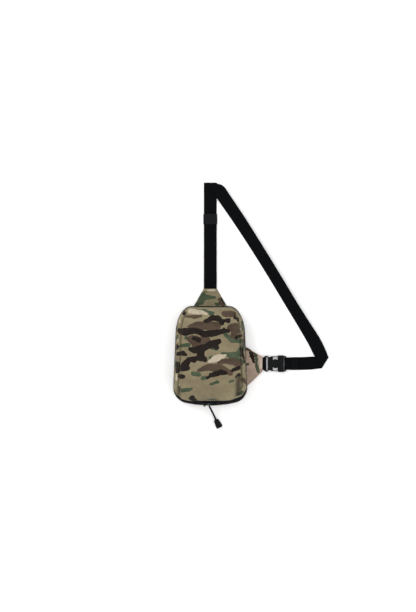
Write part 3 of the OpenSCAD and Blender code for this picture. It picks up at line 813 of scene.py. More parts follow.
def loop(inset, lift=0.0):
    """The outline, anticlockwise from the bottom centre; lift raises only its lower end."""
    centre = BOTTOM_R - BOTTOM_Y + lift
    arc = np.linspace(0, ARC_END, ARC_STEPS, endpoint=False)
    turn = np.linspace(ARC_END, math.pi / 2, CORNER_STEPS + 1)
    bend = np.linspace(0, math.pi / 2, SHOULDER_STEPS + 1)
    r = BOTTOM_R - inset
    k = CORNER_R - inset
    low = np.column_stack([r * np.sin(arc), centre - r * np.cos(arc)])
    corner = np.column_stack([CORNER_X + k * np.sin(turn), centre - CORNER_DOWN - k * np.cos(turn)])
    shoulder = np.column_stack([SHOULDER_X + (WAIST_X - SHOULDER_X - inset) * np.cos(bend),
                                SHOULDER_Y + (TOP_Y - SHOULDER_Y - inset) * np.sin(bend)])
    side = np.linspace(corner[-1], shoulder[0], SIDE_STEPS + 1)[1:-1]
    top = np.linspace(shoulder[-1], (0, shoulder[-1][1]), TOP_STEPS + 1)[1:]
    right = np.vstack([low, corner, side, shoulder, top])
    left = right[-2:0:-1] * np.array([-1, 1])
    return np.vstack([right, left])


def outward(curve):
    """Unit vectors that point out of a closed outline."""
    ahead = np.roll(curve, -1, axis=0) - np.roll(curve, 1, axis=0)
    return unit(np.column_stack([ahead[:, 1], -ahead[:, 0]]))


def station_points(stations, run):
    """Points of a band from [inset, lift, z] stations, row by row."""
    rows = [np.column_stack([loop(i, l)[run], np.full(len(run), float(z))]) for i, l, z in stations]
    return np.array(rows)


def cloth_grid(rows):
    """Flat cloth coordinates of a band: length along it and up it."""
    middle = rows[len(rows) // 2]
    along = lengths_along(middle)
    up = np.concatenate([[0], np.cumsum(np.linalg.norm(np.diff(rows, axis=0), axis=2).mean(axis=1))])
    return np.array([[(a, u) for a in along] for u in up]).reshape(-1, 2)


def band_piece(name, stations, run, look, body, nodes, thickness, blots=None, levels=0, wobble=0.0):
    """A band of cloth through the stations, along a run of the outline."""
    rows = station_points(stations, run)
    if wobble:
        out = np.column_stack([outward(loop(8))[run], np.zeros(len(run))])
        for k in range(1, len(rows) - 1):
            share = 1 - k / len(rows)
            rows[k] += out * ripple(rows[k], 30, wobble * share, 3.0)[:, None]
    obj = piece(name, rows.reshape(-1, 3), grid_faces(len(rows), len(run)), look, body,
                cloth_grid(rows), nodes, blots=blots)
    thicken(obj, thickness, -1.0, levels)
    return obj


def cupped(stations, spacing):
    """A dish: a closed band through the stations, filled in flat at its last one."""
    rows = station_points(stations, WHOLE)
    lattice, triangles = filled(rows[-1][:, :2], spacing)
    base = (len(rows) - 1) * LOOP_N
    faces = grid_faces(len(rows), LOOP_N, around=True)
    faces += [tuple(base + k for k in triangle) for triangle in triangles]
    middle = np.column_stack([lattice, np.full(len(lattice), float(stations[-1][2]))])
    return np.vstack([rows.reshape(-1, 3), middle]), faces


WHOLE = np.arange(LOOP_N)
# The whole way round with both ends at the top centre, under the tab.
CLOSED = np.arange(HALF_N, HALF_N + LOOP_N + 1) % LOOP_N
ZIP_RUN = np.arange(-ZIP_END, ZIP_END + 1) % LOOP_N
HINGE_RUN = np.arange(ZIP_END, LOOP_N - ZIP_END + 1)

# Heights of the zip's middle and its band's edges, and how far the band leans in and up.
ZIP_Z, TAPE_Z0, TAPE_Z1, ZIP_IN, ZIP_LIFT = 33, 20, 46, 3, 13


def zip_station(z, out=0.0):
    """The station of the zip's band at a height, moved out of the band."""
    share = (z - TAPE_Z0) / (TAPE_Z1 - TAPE_Z0)
    return [ZIP_IN * share - out, ZIP_LIFT * share, z]


def tucked_station(z, inset):
    """A station of the zip band that slips under the cloth near both edges of the band."""
    tuck = 1 - smooth(z, TAPE_Z0 - 0.5, TAPE_Z0 + 1.8) + smooth(z, TAPE_Z1 - 2.5, TAPE_Z1)
    return zip_station(z, -inset - 1.1 * float(tuck))


# ---- Pull cord ----
CORD_D = 5.2
# The CAD cord's own route, from the bail down to its moulded end, and the bail's middle.
CORD_ROUTE = [
    (-3, -146.3, 36.5), (-1.7, -149.4, 36.4), (0, -152.5, 35.5), (1.5, -155.5, 33.5),
    (3, -158.5, 30.5), (4, -161.5, 27), (5.5, -164.5, 23), (7, -167.5, 19),
    (8.5, -170.5, 15), (10, -174, 11), (11.5, -177.5, 8), (13, -181, 5.8),
    (14.5, -185, 4.6), (16.5, -189, 4.2)]
BAIL = (-3.0, -143.75, 36.5)


def make_cord():
    """A braided cord: two sets of strands wind opposite ways over each other."""
    route = spline(CORD_ROUTE, 150)

    def braid(angle, length):
        one = np.cos(4 * angle + length * 1.9)
        two = np.cos(4 * angle - length * 1.9)
        return 1.0 + 0.08 * np.maximum(one, two)

    points, faces, lay = tube(route, CORD_D / 2, 20, braid)
    cord = piece("cord", points, faces, "cord", "pull_right", lay, ["pull_cord"])
    end = round_node("cord_end", "plastic", 0.7)
    ridges = make_cord_ridges()
    path_length(route) * MM
    radius, tail_y = 2.05, CORD_ROUTE[1][1] + 2
    ring = [(BAIL[0], BAIL[1] + radius * math.cos(a), BAIL[2] + radius * math.sin(a))
            for a in np.linspace(-0.75 * math.pi, 0.75 * math.pi, 22)]
    first = [(BAIL[0] - 1.2, tail_y, BAIL[2] - 1.4)]
    last = [(BAIL[0] + 1.2, tail_y, BAIL[2] + 1.4)]
    points, faces, lay = tube(spline(first + ring + last, 60), 0.98, 12, braid)
    piece("cord_loop", points, faces, "cord", "pull_right", lay)


def make_cord_ridges():
    """Grip ridges across the moulded cord end."""
    end_turn = math.radians(26.6)
    forward = np.array([math.sin(end_turn), -math.cos(end_turn), 0])
    side = np.array([math.cos(end_turn), math.sin(end_turn), 0])
    top = node_box("cord_end")[1][2]
    start = np.array([CORD_ROUTE[-1][0], CORD_ROUTE[-1][1], 0])
    parts = []
    for step in range(4):
        along = 5 + 3.6 * step
        half = 4.6 + 0.35 * step
        centre = start + forward * along + UP * (top - 0.25)
        ends = [centre - side * half, centre - side * half * 0.5 + UP * 0.15,
                centre + side * half * 0.5 + UP * 0.15, centre + side * half]
        parts.append(tube(spline(ends, 12), 0.55, 8)[:2])
    return piece("cord_end_ridges", *joined(parts), "plastic", "pull_right")


def round_node(node, look, bevel):
    """Gives a carried-over CAD node its material and softly rounded edges."""
    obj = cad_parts[node]
    obj.data.materials.clear()
    obj.data.materials.append(LOOKS[look])
    add_modifier(obj, "BEVEL", width=bevel * MM, segments=3, limit_method="ANGLE",
                 angle_limit=math.radians(32), use_clamp_overlap=True)
    return obj


# ---- Webbing ----
# Width, thickness and the height of the low ply's underside; then the middles of both plies.
WEB_W, WEB_T, WEB_Z = 38.0, 1.8, 1.2
LOW_MID = WEB_Z + WEB_T / 2
HIGH_MID = WEB_Z + WEB_T + 0.5 + WEB_T / 2
STRAP_TOP = 511


def ribbon(side_a, side_b, thickness=WEB_T, face_up=1):
    """Closed webbing between two edge curves, with rounded edges; face_up says which
    face of the cloth looks up at its start."""
    side_a, side_b = np.asarray(side_a, float), np.asarray(side_b, float)
    count = len(side_a)
    middle = (side_a + side_b) / 2
    along = np.gradient(middle, axis=0)
    across = side_b - side_a
    width = np.linalg.norm(across, axis=1)
    normal = unit(np.cross(along, across))
    across = unit(across)
    r = thickness / 2
    spans = np.linspace(-1, 1, 11)
    rings, lay = [], []
    length = lengths_along(middle)
    for i in range(count):
        flat = width[i] / 2 - 0.7 * r
        ring, cloth = [], []
        for s in spans:
            ring.append(middle[i] + across[i] * s * flat + normal[i] * r)
            cloth.append((s * flat, length[i], face_up))
        ring.append(middle[i] + across[i] * (width[i] / 2) + normal[i] * r * 0.35)
        ring.append(middle[i] + across[i] * (width[i] / 2) - normal[i] * r * 0.35)
        cloth += [(width[i] / 2, length[i], face_up), (width[i] / 2, length[i], 1 - face_up)]
        for s in spans[::-1]:
            ring.append(middle[i] + across[i] * s * flat - normal[i] * r)
            cloth.append((s * flat, length[i], 1 - face_up))
        ring.append(middle[i] - across[i] * (width[i] / 2) - normal[i] * r * 0.35)
        ring.append(middle[i] - across[i] * (width[i] / 2) + normal[i] * r * 0.35)
        cloth += [(-width[i] / 2, length[i], 1 - face_up), (-width[i] / 2, length[i], face_up)]
        rings.append(ring)
        lay.append(cloth)
    faces = grid_faces(count, len(rings[0]), around=True, capped=True)
    return np.array(rings).reshape(-1, 3), faces, np.array(lay).reshape(-1, 3)


def side_path(points, y_or_x, axis):
    """A profile of (run, z) points at one side of a strap."""
    out = np.zeros((len(points), 3))
    points = np.asarray(points, float)
    out[:, 1 - axis] = points[:, 0]
    out[:, axis] = y_or_x
    out[:, 2] = points[:, 1]
    return out


def wavy(points):
    """Small lifts and edge wander, so that a strap isn't dead flat."""
    points[:, 2] += np.abs(ripple(points, 60, 0.1, 5.0))
    points[:, 0] += ripple(points, 45, 0.5, 9.0)
    return points


def make_upright_strap():
    """The upright ply, which ends in the half turn of the fold at the strap's top."""
    half = WEB_W / 2
    bend = [(STRAP_TOP - 1.3 + 1.3 * math.sin(a), (LOW_MID + HIGH_MID) / 2 - 1.15 * math.cos(a))
            for a in np.linspace(0.15, math.pi, 9)]
    run = [(y, LOW_MID) for y in np.arange(165, STRAP_TOP - 2, 4.0)] + bend
    run.append((STRAP_TOP - 5, HIGH_MID))
    left = side_path(run, -half, 0)
    right = side_path(run, half, 0)
    points, faces, lay = ribbon(left, right)
    piece("strap_upright", points, faces, "webbing", "root", lay, ["strap_upper"])


def make_tail():
    """The second ply, whose cut end shows above the keeper."""
    low, high = node_box("strap_tail")
    half = WEB_W / 2 - 0.1
    hidden = 8
    y0, y1 = low[1] - hidden, high[1]
    z = low[2] + WEB_T / 2
    run = [(y, z) for y in np.arange(y0, y1 - 1, 4.0)] + [(y1, z)]
    left = wavy(side_path(run, -half, 0))
    right = wavy(side_path(run, half, 0))
    points, faces, lay = ribbon(left, right)
    piece("strap_tail_ply", points, faces, "webbing", "root", lay, ["strap_tail"])
    rows = [seam([(-16, y, z + 0.9), (16, y, z + 0.9)]) for y in (y1 - 3.0, y1 - 9.0)]
    stitches("tail_stitches", rows, "thread_black", "root", "webbing")


# The long run from the top fold: [x, y, height of the inner edge, roll in degrees].
DIAGONAL = [
    (24, 490, 3.5, 15), (46, 459, 3.4, 16), (86, 400, 2, 22), (124, 341, 1, 27),
    (161, 282, 0.8, 30), (197, 223, 0.8, 31), (233, 163, 0.8, 31), (268, 106, 1, 28),
    (304, 48, 2.2, 12), (321, 15, 3.5, 5)]
# Both ends of the lower fold's crease.
FOLD_LOW, FOLD_TIP = np.array([328, -37]), np.array([349, -3])
BUCKLE_LOW, BUCKLE_HIGH = node_box("buckle_female")
MOUTH_X, BUCKLE_Y = BUCKLE_LOW[0], (BUCKLE_LOW[1] + BUCKLE_HIGH[1]) / 2
BUCKLE_Z = 5.2


def strap_edges():
    """Both edges of the webbing from the top fold round the lower fold to the buckle."""
    runs = np.array([d[:2] for d in DIAGONAL], float)
    ahead = np.gradient(runs, axis=0)
    side = unit(np.column_stack([-ahead[:, 1], ahead[:, 0]]))
    inner = [(-19, STRAP_TOP - 3.6, HIGH_MID)]
    outer = [(20.5, STRAP_TOP - 2.2, HIGH_MID + 1.2)]
    # The webbing rolls about its inner edge, so its outer edge rises.
    for (x, y, z, roll), n in zip(DIAGONAL, side):
        a = math.radians(roll)
        reach = WEB_W / 2 * math.cos(a)
        inner.append((x - n[0] * reach, y - n[1] * reach, z + WEB_T / 2))
        outer.append((x + n[0] * reach, y + n[1] * reach, z + WEB_T / 2 + WEB_W * math.sin(a)))
    inner.append((*FOLD_LOW, HIGH_MID))
    outer.append((*FOLD_TIP, HIGH_MID))
    inner, outer = spline(inner, 150), spline(outer, 150)
    fold = unit(FOLD_TIP - FOLD_LOW)
    out = np.array([fold[1], -fold[0]])
    bend = np.linspace(0, math.pi, 9)[1:]
    for a in bend:
        shift = 1.15 * math.sin(a)
        z = (HIGH_MID + LOW_MID) / 2 + 1.15 * math.cos(a)
        inner = np.vstack([inner, (*(FOLD_LOW + out * shift), z)])
        outer = np.vstack([outer, (*(FOLD_TIP + out * shift), z)])
    half = WEB_W / 2
    # Back under the fold to the buckle, then round its bar, as x from its mouth and z.
    route = [(300, -22.0), (270, -23.2), (240, BUCKLE_Y)]
    low_a = [(FOLD_LOW[0] - 1.0, FOLD_LOW[1] - 0.6, LOW_MID)] + [(x, y - half, LOW_MID) for x, y in route]
    low_b = [(FOLD_TIP[0] - 2.0, FOLD_TIP[1] - 0.4, LOW_MID)] + [(x, y + half, LOW_MID) for x, y in route]
    lap = [(37, LOW_MID), (27, LOW_MID), (22, 2.5), (19.4, 3.6), (18.7, 5.4), (19.5, 7.4),
           (22.3, 8.4), (26.9, 8.5), (30.5, 7.6), (34.5, 5.7), (39, 4.2), (47.5, 3.95), (61.5, 3.9)]
    lap = [(MOUTH_X + x, z) for x, z in lap]
    low_a += [(x, BUCKLE_Y - half + 0.6, z) for x, z in lap]
    low_b += [(x, BUCKLE_Y + half - 0.6, z) for x, z in lap]
    return np.vstack([inner, spline(low_a, 120)]), np.vstack([outer, spline(low_b, 120)])


def make_long_strap():
    """The long run, its lower fold and the lap sewn round the buckle's bar."""
    inner, outer = strap_edges()
    points, faces, lay = ribbon(inner, outer)
    strap = piece("strap_long", points, faces, "webbing", None, lay, ["strap_diagonal", "strap_lower"])
    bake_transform(strap)
    x0, x1, y0, y1, z = MOUTH_X + 43, MOUTH_X + 58, BUCKLE_Y - 15, BUCKLE_Y + 15, 4.85
    corners = [(x0, y0, z), (x1, y0, z), (x1, y1, z), (x0, y1, z), (x0, y0, z)]
    rows = seams(corners) + [seam(corners[0:3:2]), seam(corners[3:0:-2])]
    stitches("strap_end_stitches", rows, "thread_black", "shoulder_strap", "webbing")


def make_wing_webbing():
    """The short webbing that is sewn in the wing and looped round the buckle's bar."""
    bar_x, half = 161.0, WEB_W / 2 - 0.4
    path = [(134, 4.3), (146, 4.3), (154, 4.2), (157, 3.2), (159.5, 2.35), (162.5, 2.35), (164.3, 3.4),
            (164.7, BUCKLE_Z), (164.3, 7.0), (162.5, 8.05), (159.5, 8.05), (157, 7.2), (154, 6.2),
            (146, 6.1), (134, 6.1)]
    fine = spline(path, 70)
    a = side_path(fine, BUCKLE_Y - half, 1)
    b = side_path(fine, BUCKLE_Y + half, 1)
    points, faces, lay = ribbon(a, b, thickness=1.6, face_up=0)
    piece("wing_loop", points, faces, "webbing_wing", "root", lay, ["wing_webbing"], "webbing")
    row = seam([(bar_x - 5.6, BUCKLE_Y - 16, 8.0), (bar_x - 5.6, BUCKLE_Y + 16, 8.0)])
    stitches("wing_loop_stitches", [row], "thread_black", "root", "webbing")


def make_keeper():
    """Ribbed elastic loop round both plies of the strap."""
    (_, y0, _), (x, y1, top) = node_box("strap_keeper")
    thickness, r = 0.9, 1.6
    wide, tall = x - thickness / 2, (top - thickness) / 2
    centre_z = top / 2
    ring = []
    for cx, cz, a0 in ((wide - r, tall - r, 0), (-(wide - r), tall - r, 90),
                       (-(wide - r), -(tall - r), 180), (wide - r, -(tall - r), 270)):
        for a in np.radians(np.linspace(a0, a0 + 90, 6)):
            ring.append((cx + r * math.cos(a), centre_z + cz + r * math.sin(a)))
    ring.append(ring[0])
    ring = resample(ring, 97)[:-1]
    rows, ribs, per_rib = [], 24, 3
    count = len(ring)
    inward = -outward(ring)
    for k in range(ribs * per_rib + 1):
        share = k / (ribs * per_rib)
        swell = 0.16 * math.sin(share * ribs * 2 * math.pi)
        edge = 0.35 * max(0.0, 1 - min(share, 1 - share) * ribs)
        shift = ring - inward * swell * 0.5 + inward * edge
        rows.append(np.column_stack([shift[:, 0], np.full(count, y0 + (y1 - y0) * share), shift[:, 1]]))
    rows = np.array(rows)
    lengths = np.linspace(0, 90, count)
    lay = np.array([[(y[1], l) for l in lengths] for y in rows[:, 0]]).reshape(-1, 2)
    obj = piece("keeper", rows.reshape(-1, 3), grid_faces(len(rows), count, around=True), "elastic",
                "keeper", lay, ["strap_keeper"])
    thicken(obj, thickness, 0.0)


# ---- Front shell ----
# Rows of the front from the zip's edge up, as [inset, lift, z]. SEAM is the row where the
# gussets are sewn to the panel.
SEAM = 8
FRONT = [
    (3, 13, 46), (3.5, 13.1, 50), (4, 13.2, 54), (4.8, 13.3, 58), (6, 13.5, 62.5), (8, 13.8, 66.8),
    (10.6, 14.2, 70.2), (13.2, 14.6, 72.8), (15, 15, 74.4), (17, 15, 76.8), (20, 15, 79.4),
    (24, 15, 81.4), (29, 15, 83), (35, 15, 84.2), (43, 15, 85)]
LATTICE = 4.0
RING_N = len(FRONT)


def shell_mesh():
    """Points and faces of the whole front, before it is filled out, and its flat lay."""
    points, faces = cupped(FRONT, LATTICE)
    rows = points[:RING_N * LOOP_N].reshape(RING_N, LOOP_N, 3)
    lay = points[:, :2].copy()
    seam_row = rows[SEAM]
    out = outward(seam_row[:, :2])
    for j in range(SEAM):
        down = np.linalg.norm(np.diff(rows[j:SEAM + 1], axis=0), axis=2).sum(axis=0)
        lay[j * LOOP_N:(j + 1) * LOOP_N] = seam_row[:, :2] + out * down[:, None]
    return points, faces, lay


def fill_out(points, faces, pins, pressure, slack, cap, frames):
    """Inflates a cloth mesh held at its pins and returns the moved points."""
    mesh = bpy.data.meshes.new("cloth")
    mesh.from_pydata((points * MM).tolist(), [], faces)
    obj = bpy.data.objects.new("cloth", mesh)
    bpy.context.scene.collection.objects.link(obj)
    group = obj.vertex_groups.new(name="pins")
    for weight in np.unique(pins):
        if weight > 0:
            group.add(np.flatnonzero(pins == weight).tolist(), float(weight), "REPLACE")
    cloth = add_modifier(obj, "CLOTH")
    cloth.point_cache.frame_start, cloth.point_cache.frame_end = 1, frames
    settings = cloth.settings
    settings.quality = 6
    settings.mass = 0.1
    settings.use_pressure = True
    settings.uniform_pressure_force = pressure
    settings.tension_stiffness = settings.compression_stiffness = 25
    settings.shear_stiffness, settings.bending_stiffness = 10, 0.8
    settings.shrink_min = -slack
    settings.vertex_group_mass = "pins"
    settings.effector_weights.gravity = 0
    cloth.collision_settings.use_collision = False
    scene = bpy.context.scene
    for frame_number in range(1, frames + 1):
        scene.frame_set(frame_number)
    evaluated = obj.evaluated_get(bpy.context.evaluated_depsgraph_get())
    moved = np.zeros(len(points) * 3)
    evaluated.data.vertices.foreach_get("co", moved)
    moved = moved.reshape(-1, 3) / MM
    scene.frame_set(1)
    bpy.data.objects.remove(obj)
    move = moved - points
    size = np.linalg.norm(move, axis=1)
    keep = cap * np.tanh(size / cap) / np.maximum(size, 1e-9)
    return points + move * keep[:, None]


def used(points, faces, *others):
    """Only the points that the faces use, with the same cut of each other array."""
    keep = sorted({i for f in faces for i in f})
    at = {old: new for new, old in enumerate(keep)}
    return [points[keep], [tuple(at[i] for i in f) for f in faces]] + [o[keep] for o in others]


def gusset_swell(column, ring):
    """How far the cloth above the zip bulges past it, in mm, by place on the outline."""
    # The side bulges between the seam's start and the zip's end, and so does the lower corner;
    # the left side is fuller than the right.
    at = np.minimum(column, LOOP_N - column)
    rise = smooth(at, DART - 2, DART + 14) * (1 - smooth(at, ZIP_END - 12, CREST + 4))
    corner = smooth(at, 1, 14) * (1 - smooth(at, 19, SIDE_START + 2))
    left = column > HALF_N
    height = np.interp(ring, (0, 1, 3, 5, 7, 8), (0.55, 0.9, 1, 0.7, 0.2, 0))
    return height * (rise * np.where(left, 3.0, 0.8) + corner * np.where(left, 5.5, 2.6))


def make_front_shell():
    """The panel with the top and bottom it wraps over, and the two side gussets."""
    points, faces, lay = shell_mesh()
    ring_of = np.arange(RING_N * LOOP_N) // LOOP_N
    column = np.arange(RING_N * LOOP_N) % LOOP_N
    side_right = (column >= DART) & (column <= CREST)
    side_left = (column >= LOOP_N - CREST) & (column <= LOOP_N - DART)
    on_side = side_right | side_left
    swell = gusset_swell(column, ring_of)
    out = np.tile(outward(loop(FRONT[0][0], FRONT[0][1])), (RING_N, 1))
    points[:len(ring_of), :2] += out * swell[:, None]
    pins = np.zeros(len(points))
    pins[:len(ring_of)][ring_of == 0] = 1.0
    pins[:len(ring_of)][(ring_of == SEAM) & on_side] = 0.5
    points = fill_out(points, faces, pins, pressure=6, slack=0.03, cap=6, frames=20)
    points = shape_front(points, ring_of, on_side)
    parts = {"front_panel": [], "side_gusset_right": [], "side_gusset_left": []}
    for k, face in enumerate(faces):
        ring, at = divmod(k, LOOP_N)
        node = "front_panel"
        if ring < SEAM and DART <= at < CREST:
            node = "side_gusset_right"
        elif ring < SEAM and LOOP_N - CREST <= at < LOOP_N - DART:
            node = "side_gusset_left"
        parts[node].append(face)
    # How much painted shade each point of the front gets.
    painted_shade = painted_front_shade(points, ring_of, column, on_side)
    names = ("front_cloth", "gusset_right", "gusset_left")
    for name, (node, part) in zip(names, parts.items()):
        part_points, part_faces, part_lay, part_painted_shade = used(points, part, lay, painted_shade)
        obj = piece(name, part_points, part_faces, "camo", "front_shell", part_lay, [node],
                    blots=PANEL_BLOTS, painted_shade=part_painted_shade)
        thicken(obj, 1.3, -1.0, 1)
    stitch_front(points[:RING_N * LOOP_N].reshape(RING_N, LOOP_N, 3))


# The two soft folds near the lower corners: x, half width, depth, and the heights on the
# bag where each starts and is full. FOLD_SHADE is how dark their painted shade is, beside a seam's 1.
CORNER_FOLDS = ((81, 7.5, 5.5, -44, -64), (-91, 4.5, 4.0, -78, -94))
FOLD_SHADE = 1.35
FOLD_FLOOR = 60


def corner_fold(points, x0, width, top, full):
    """How much of a fold's depth there is at each point."""
    x, y = points[:, 0], points[:, 1]
    return np.exp(-((x - x0 - (y + 90) * 0.05) / width) ** 2) * (1 - smooth(y, full, top))


def painted_front_shade(points, ring_of, column, on_side):
    """Painted shade: how much darker each point is painted where the cloth lies in a crease: seams, zip
    edge and corner folds.
    """
    painted_shade = np.zeros(len(points))
    right = column < HALF_N
    # Painted shade along the side seams and along the gussets' zip edge, fuller on the right side than the
    # left.
    seam = np.interp(ring_of, (SEAM - 2, SEAM - 1, SEAM, SEAM + 1, SEAM + 2), (0, 0.25, 0.7, 0.2, 0))
    edge = np.interp(ring_of, (0, 1, 2, 4), (0.8, 0.6, 0.35, 0))
    painted_shade[:len(ring_of)] = (seam * on_side * np.where(right, 1.0, 0.55)
                             + edge * np.where(right, 1.0, 0.35) * on_side)
    # Painted shade in the two corner folds.
    for x0, width, _, top, full in CORNER_FOLDS:
        painted_shade += FOLD_SHADE * corner_fold(points, x0, width, top, full) * (points[:, 2] > FOLD_FLOOR)
    return painted_shade


def shape_front(points, ring_of, on_side):
    """Seam valleys, corner folds and small puckers on the filled shell."""
    points = points.copy()
    n = len(ring_of)
    inward = unit(np.array([0, 0, 40.0]) - points)
    depth = np.zeros(len(points))
    for ring, cut in {SEAM - 1: 0.6, SEAM: 3.2, SEAM + 1: 0.5}.items():
        depth[:n][(ring_of == ring) & on_side] += cut
    for x0, width, deep, top, full in CORNER_FOLDS:
        depth += deep * corner_fold(points, x0, width, top, full)
    pucker = ripple(points, 34, 1.0, 1.3) + ripple(points, 13, 0.5, 6.1)
    free = np.ones(len(points))
    free[:n][ring_of == 0] = 0
    return points + inward * ((depth + pucker) * free)[:, None]


def stitch_front(rows):
    """Topstitching beside the side seams and along the zip edge."""
    lines = []
    for run in (np.arange(DART, CREST + 1), np.arange(LOOP_N - CREST, LOOP_N - DART + 1)):
        for ring, share in ((SEAM + 1, 0.45), (SEAM - 1, 0.0)):
            low, high = rows[ring][run], rows[ring + 1][run]
            line = low * (1 - share) + high * share
            lines.append((line, unit(np.cross(np.gradient(line, axis=0), high - low))))
    low, high = rows[0][ZIP_RUN], rows[1][ZIP_RUN]
    line = low * 0.2 + high * 0.8
    lines.append((line, unit(np.cross(np.gradient(line, axis=0), high - low))))
    stitches("front_stitches", lines, "thread_tan", "front_shell", "camo")


def make_front_lining():
    """The front's lining, a gap inside its cloth and following the corner folds."""
    gap_at_zip, gap, full_at = 3.4, 6.5, 3
    stations = []
    for ring, (inset, lift, z) in enumerate(FRONT[:-1]):
        if ring < SEAM:
            stations.append((inset + gap_at_zip + (gap - gap_at_zip) * min(ring / full_at, 1), lift, z))
        else:
            stations.append((inset + gap, lift, z - gap))
    points, faces = cupped(stations, 8.0)
    push = np.abs(ripple(points, 40, 1.6, 2.0))
    for x0, width, deep, top, full in CORNER_FOLDS:
        push += deep * corner_fold(points, x0, width, top, full)
    points = points + unit(np.array([0, 0, 60.0]) - points) * push[:, None]
    lay = points[:, :2] + points[:, 2:] * 0.8
    thicken(piece("lining_front", points, faces, "lining", "front_shell", lay, ["front_lining"]), 0.6)


# ---- Rear shell ----
def make_rear_shell():
    """The rear gusset, its lining, and what is sewn to them."""
    blots = scattered_blots(5, 0, 900, -5, 40)
    wall = [(0.2, 0, 8.6), (-0.1, 0, 11), (-0.4, 0, 14), (-0.2, 0, 17.5), (0.1, 0, 20.6)]
    band_piece("rear_cloth", wall, CLOSED, "camo", "root", ["rear_gusset"], 1.4, blots, 1, 1.0)
    points, faces = cupped([(2.7, 0.2, 20.2), (2.7, 0, 16), (2.9, 0, 12), (3.6, 0, 9.9), (6, 0, 9.4),
                            (20, 0, 9.3), (40, 0, 9.3)], 8.0)
    floor_top = 9.6
    points[:, 2] += np.abs(ripple(points, 45, 0.7, 9.0)) * (points[:, 2] < floor_top)
    obj = piece("lining_rear", points, faces, "lining", "root", points[:, :2], ["rear_lining"])
    thicken(obj, 0.6, 1.0)
    make_hinge()
    make_back()
    make_pocket()


def make_hinge():
    """The cloth along the top, where the front hinges open, outside and inside."""
    levels = np.linspace(TAPE_Z0 - 1.5, TAPE_Z1 + 1.5, 15)
    for name, look, inset, thickness in (("hinge_tape", "zip_tape", 0.0, 1.2),
                                         ("hinge_lining", "lining", 2.9, 0.6)):
        stations = [tucked_station(z, inset) for z in levels]
        obj = band_piece(name, stations, HINGE_RUN, look, None, (), thickness)
        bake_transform(obj)


def make_back():
    """Panel, spacer mesh pad with sewn channels, and the binding round the edge."""
    panel = [(30, 0, 8), (6, 0, 8), (3.2, 0, 7.8), (3, 0, 6.6), (3.4, 0, 5.8), (6, 0, 5.5), (30, 0, 5.5)]
    points = station_points(panel, WHOLE).reshape(-1, 3)
    faces = turned(grid_faces(len(panel), LOOP_N, around=True, capped=True))
    blots = scattered_blots(8, -110, 110, -150, 150)
    piece("back_cloth", points, faces, "camo", "root", points[:, :2], ["back_panel"], blots=blots)
    profile = [(12, 5.4), (12.1, 3.6), (12.9, 2.0), (14.5, 0.9), (17, 0.3), (20, 0.06)]
    points, faces = cupped([(i, 0, z) for i, z in profile], 4.0)
    # Two long sewn channels, and a bent one across them.
    x, y = points[:, 0], points[:, 1]
    channel = np.maximum(np.exp(-((np.abs(x) - 30 - (y + 20) * 0.05) / 3.2) ** 2),
                         np.exp(-((y - 40 + np.abs(x) * 0.25) / 3.2) ** 2))
    points[:, 2] += 2.4 * channel * (points[:, 2] < 0.5)
    pad = piece("back_pad", points, turned(faces), "mesh", "root", points[:, :2],
                ["back_mesh", "back_foam"])
    add_modifier(pad, "SUBSURF", levels=1, render_levels=1)
    binding = [(3.4, 0, 9.0), (1.2, 0, 9.2), (0.1, 0, 8.7), (-0.5, 0, 7.4), (-0.4, 0, 6.2), (0.3, 0, 5.2),
               (1.6, 0, 4.9), (3.4, 0, 5.2)]
    band_piece("edge_binding", binding, CLOSED, "binding", "root", ["back_binding"], 0.7)
    ring = np.column_stack([loop(2.4), np.full(LOOP_N, 4.9)])
    ring = np.vstack([ring, ring[:1]])
    stitches("binding_stitches", [(ring, -UP)], "thread_black", "root", "binding")


def make_pocket():
    """Slip pocket on the rear lining, open at its top with a turned hem."""
    (x0, y0, z0), (x1, y1, z1) = node_box("inner_pocket")
    z0, z1 = z0 + 0.9, z1 - 0.8
    xs, ys = np.linspace(x0, x1, 36), np.linspace(y0, y1, 31)
    points = []
    for y in ys:
        mouth = smooth(y, y0, y1)
        for x in xs:
            rise = smooth(min(x - x0, x1 - x), 0, 14) * smooth(y - y0, 0, 12)
            points.append((x, y, z0 + (z1 - z0) * rise * (0.45 + 0.55 * mouth)))
    hem = [(p[0], y1 - 10 * k, p[2] - 0.9) for k in (0.04, 1.0) for p in points[-len(xs):]]
    points = np.array(points + hem)
    points[:, 2] += ripple(points, 30, 0.5, 12.0) * smooth(points[:, 2], z0 + 1, z0 + 3)
    obj = piece("pocket", points, grid_faces(len(ys) + 2, len(xs)), "lining", "root", points[:, :2],
                ["inner_pocket"])
    thicken(obj, 0.7, 0.0)
    top = points[(len(ys) - 4) * len(xs):(len(ys) - 3) * len(xs)] + UP * 0.3
    edge = [(x0 + 3, y1, z0 + 0.8), (x0 + 3, y0 + 3, z0 + 0.6), (x1 - 3, y0 + 3, z0 + 0.6),
            (x1 - 3, y1, z0 + 0.8)]
    rows = [seam(top)] + seams(edge)
    stitches("pocket_stitches", rows, "thread_black", "root", "lining")


# ---- Zip ----
def coil(z, side):
    """One side of the zip: a wire wound in a flat spiral along the band."""
    pitch, steps = 1.5, 7
    centre = station_points([zip_station(z, -0.25)], ZIP_RUN)[0]
    centre = resample(centre, int(path_length(centre) / pitch) * steps)
    tangent = unit(np.gradient(centre, axis=0))
    out = unit(np.cross(tangent, UP))
    angle = np.arange(len(centre)) * 2 * math.pi / steps
    up = unit(np.cross(out, tangent))
    path = centre + out * np.cos(angle)[:, None] + up * (0.55 * np.sin(angle) * side)[:, None]
    return tube(path, 0.24, 5)


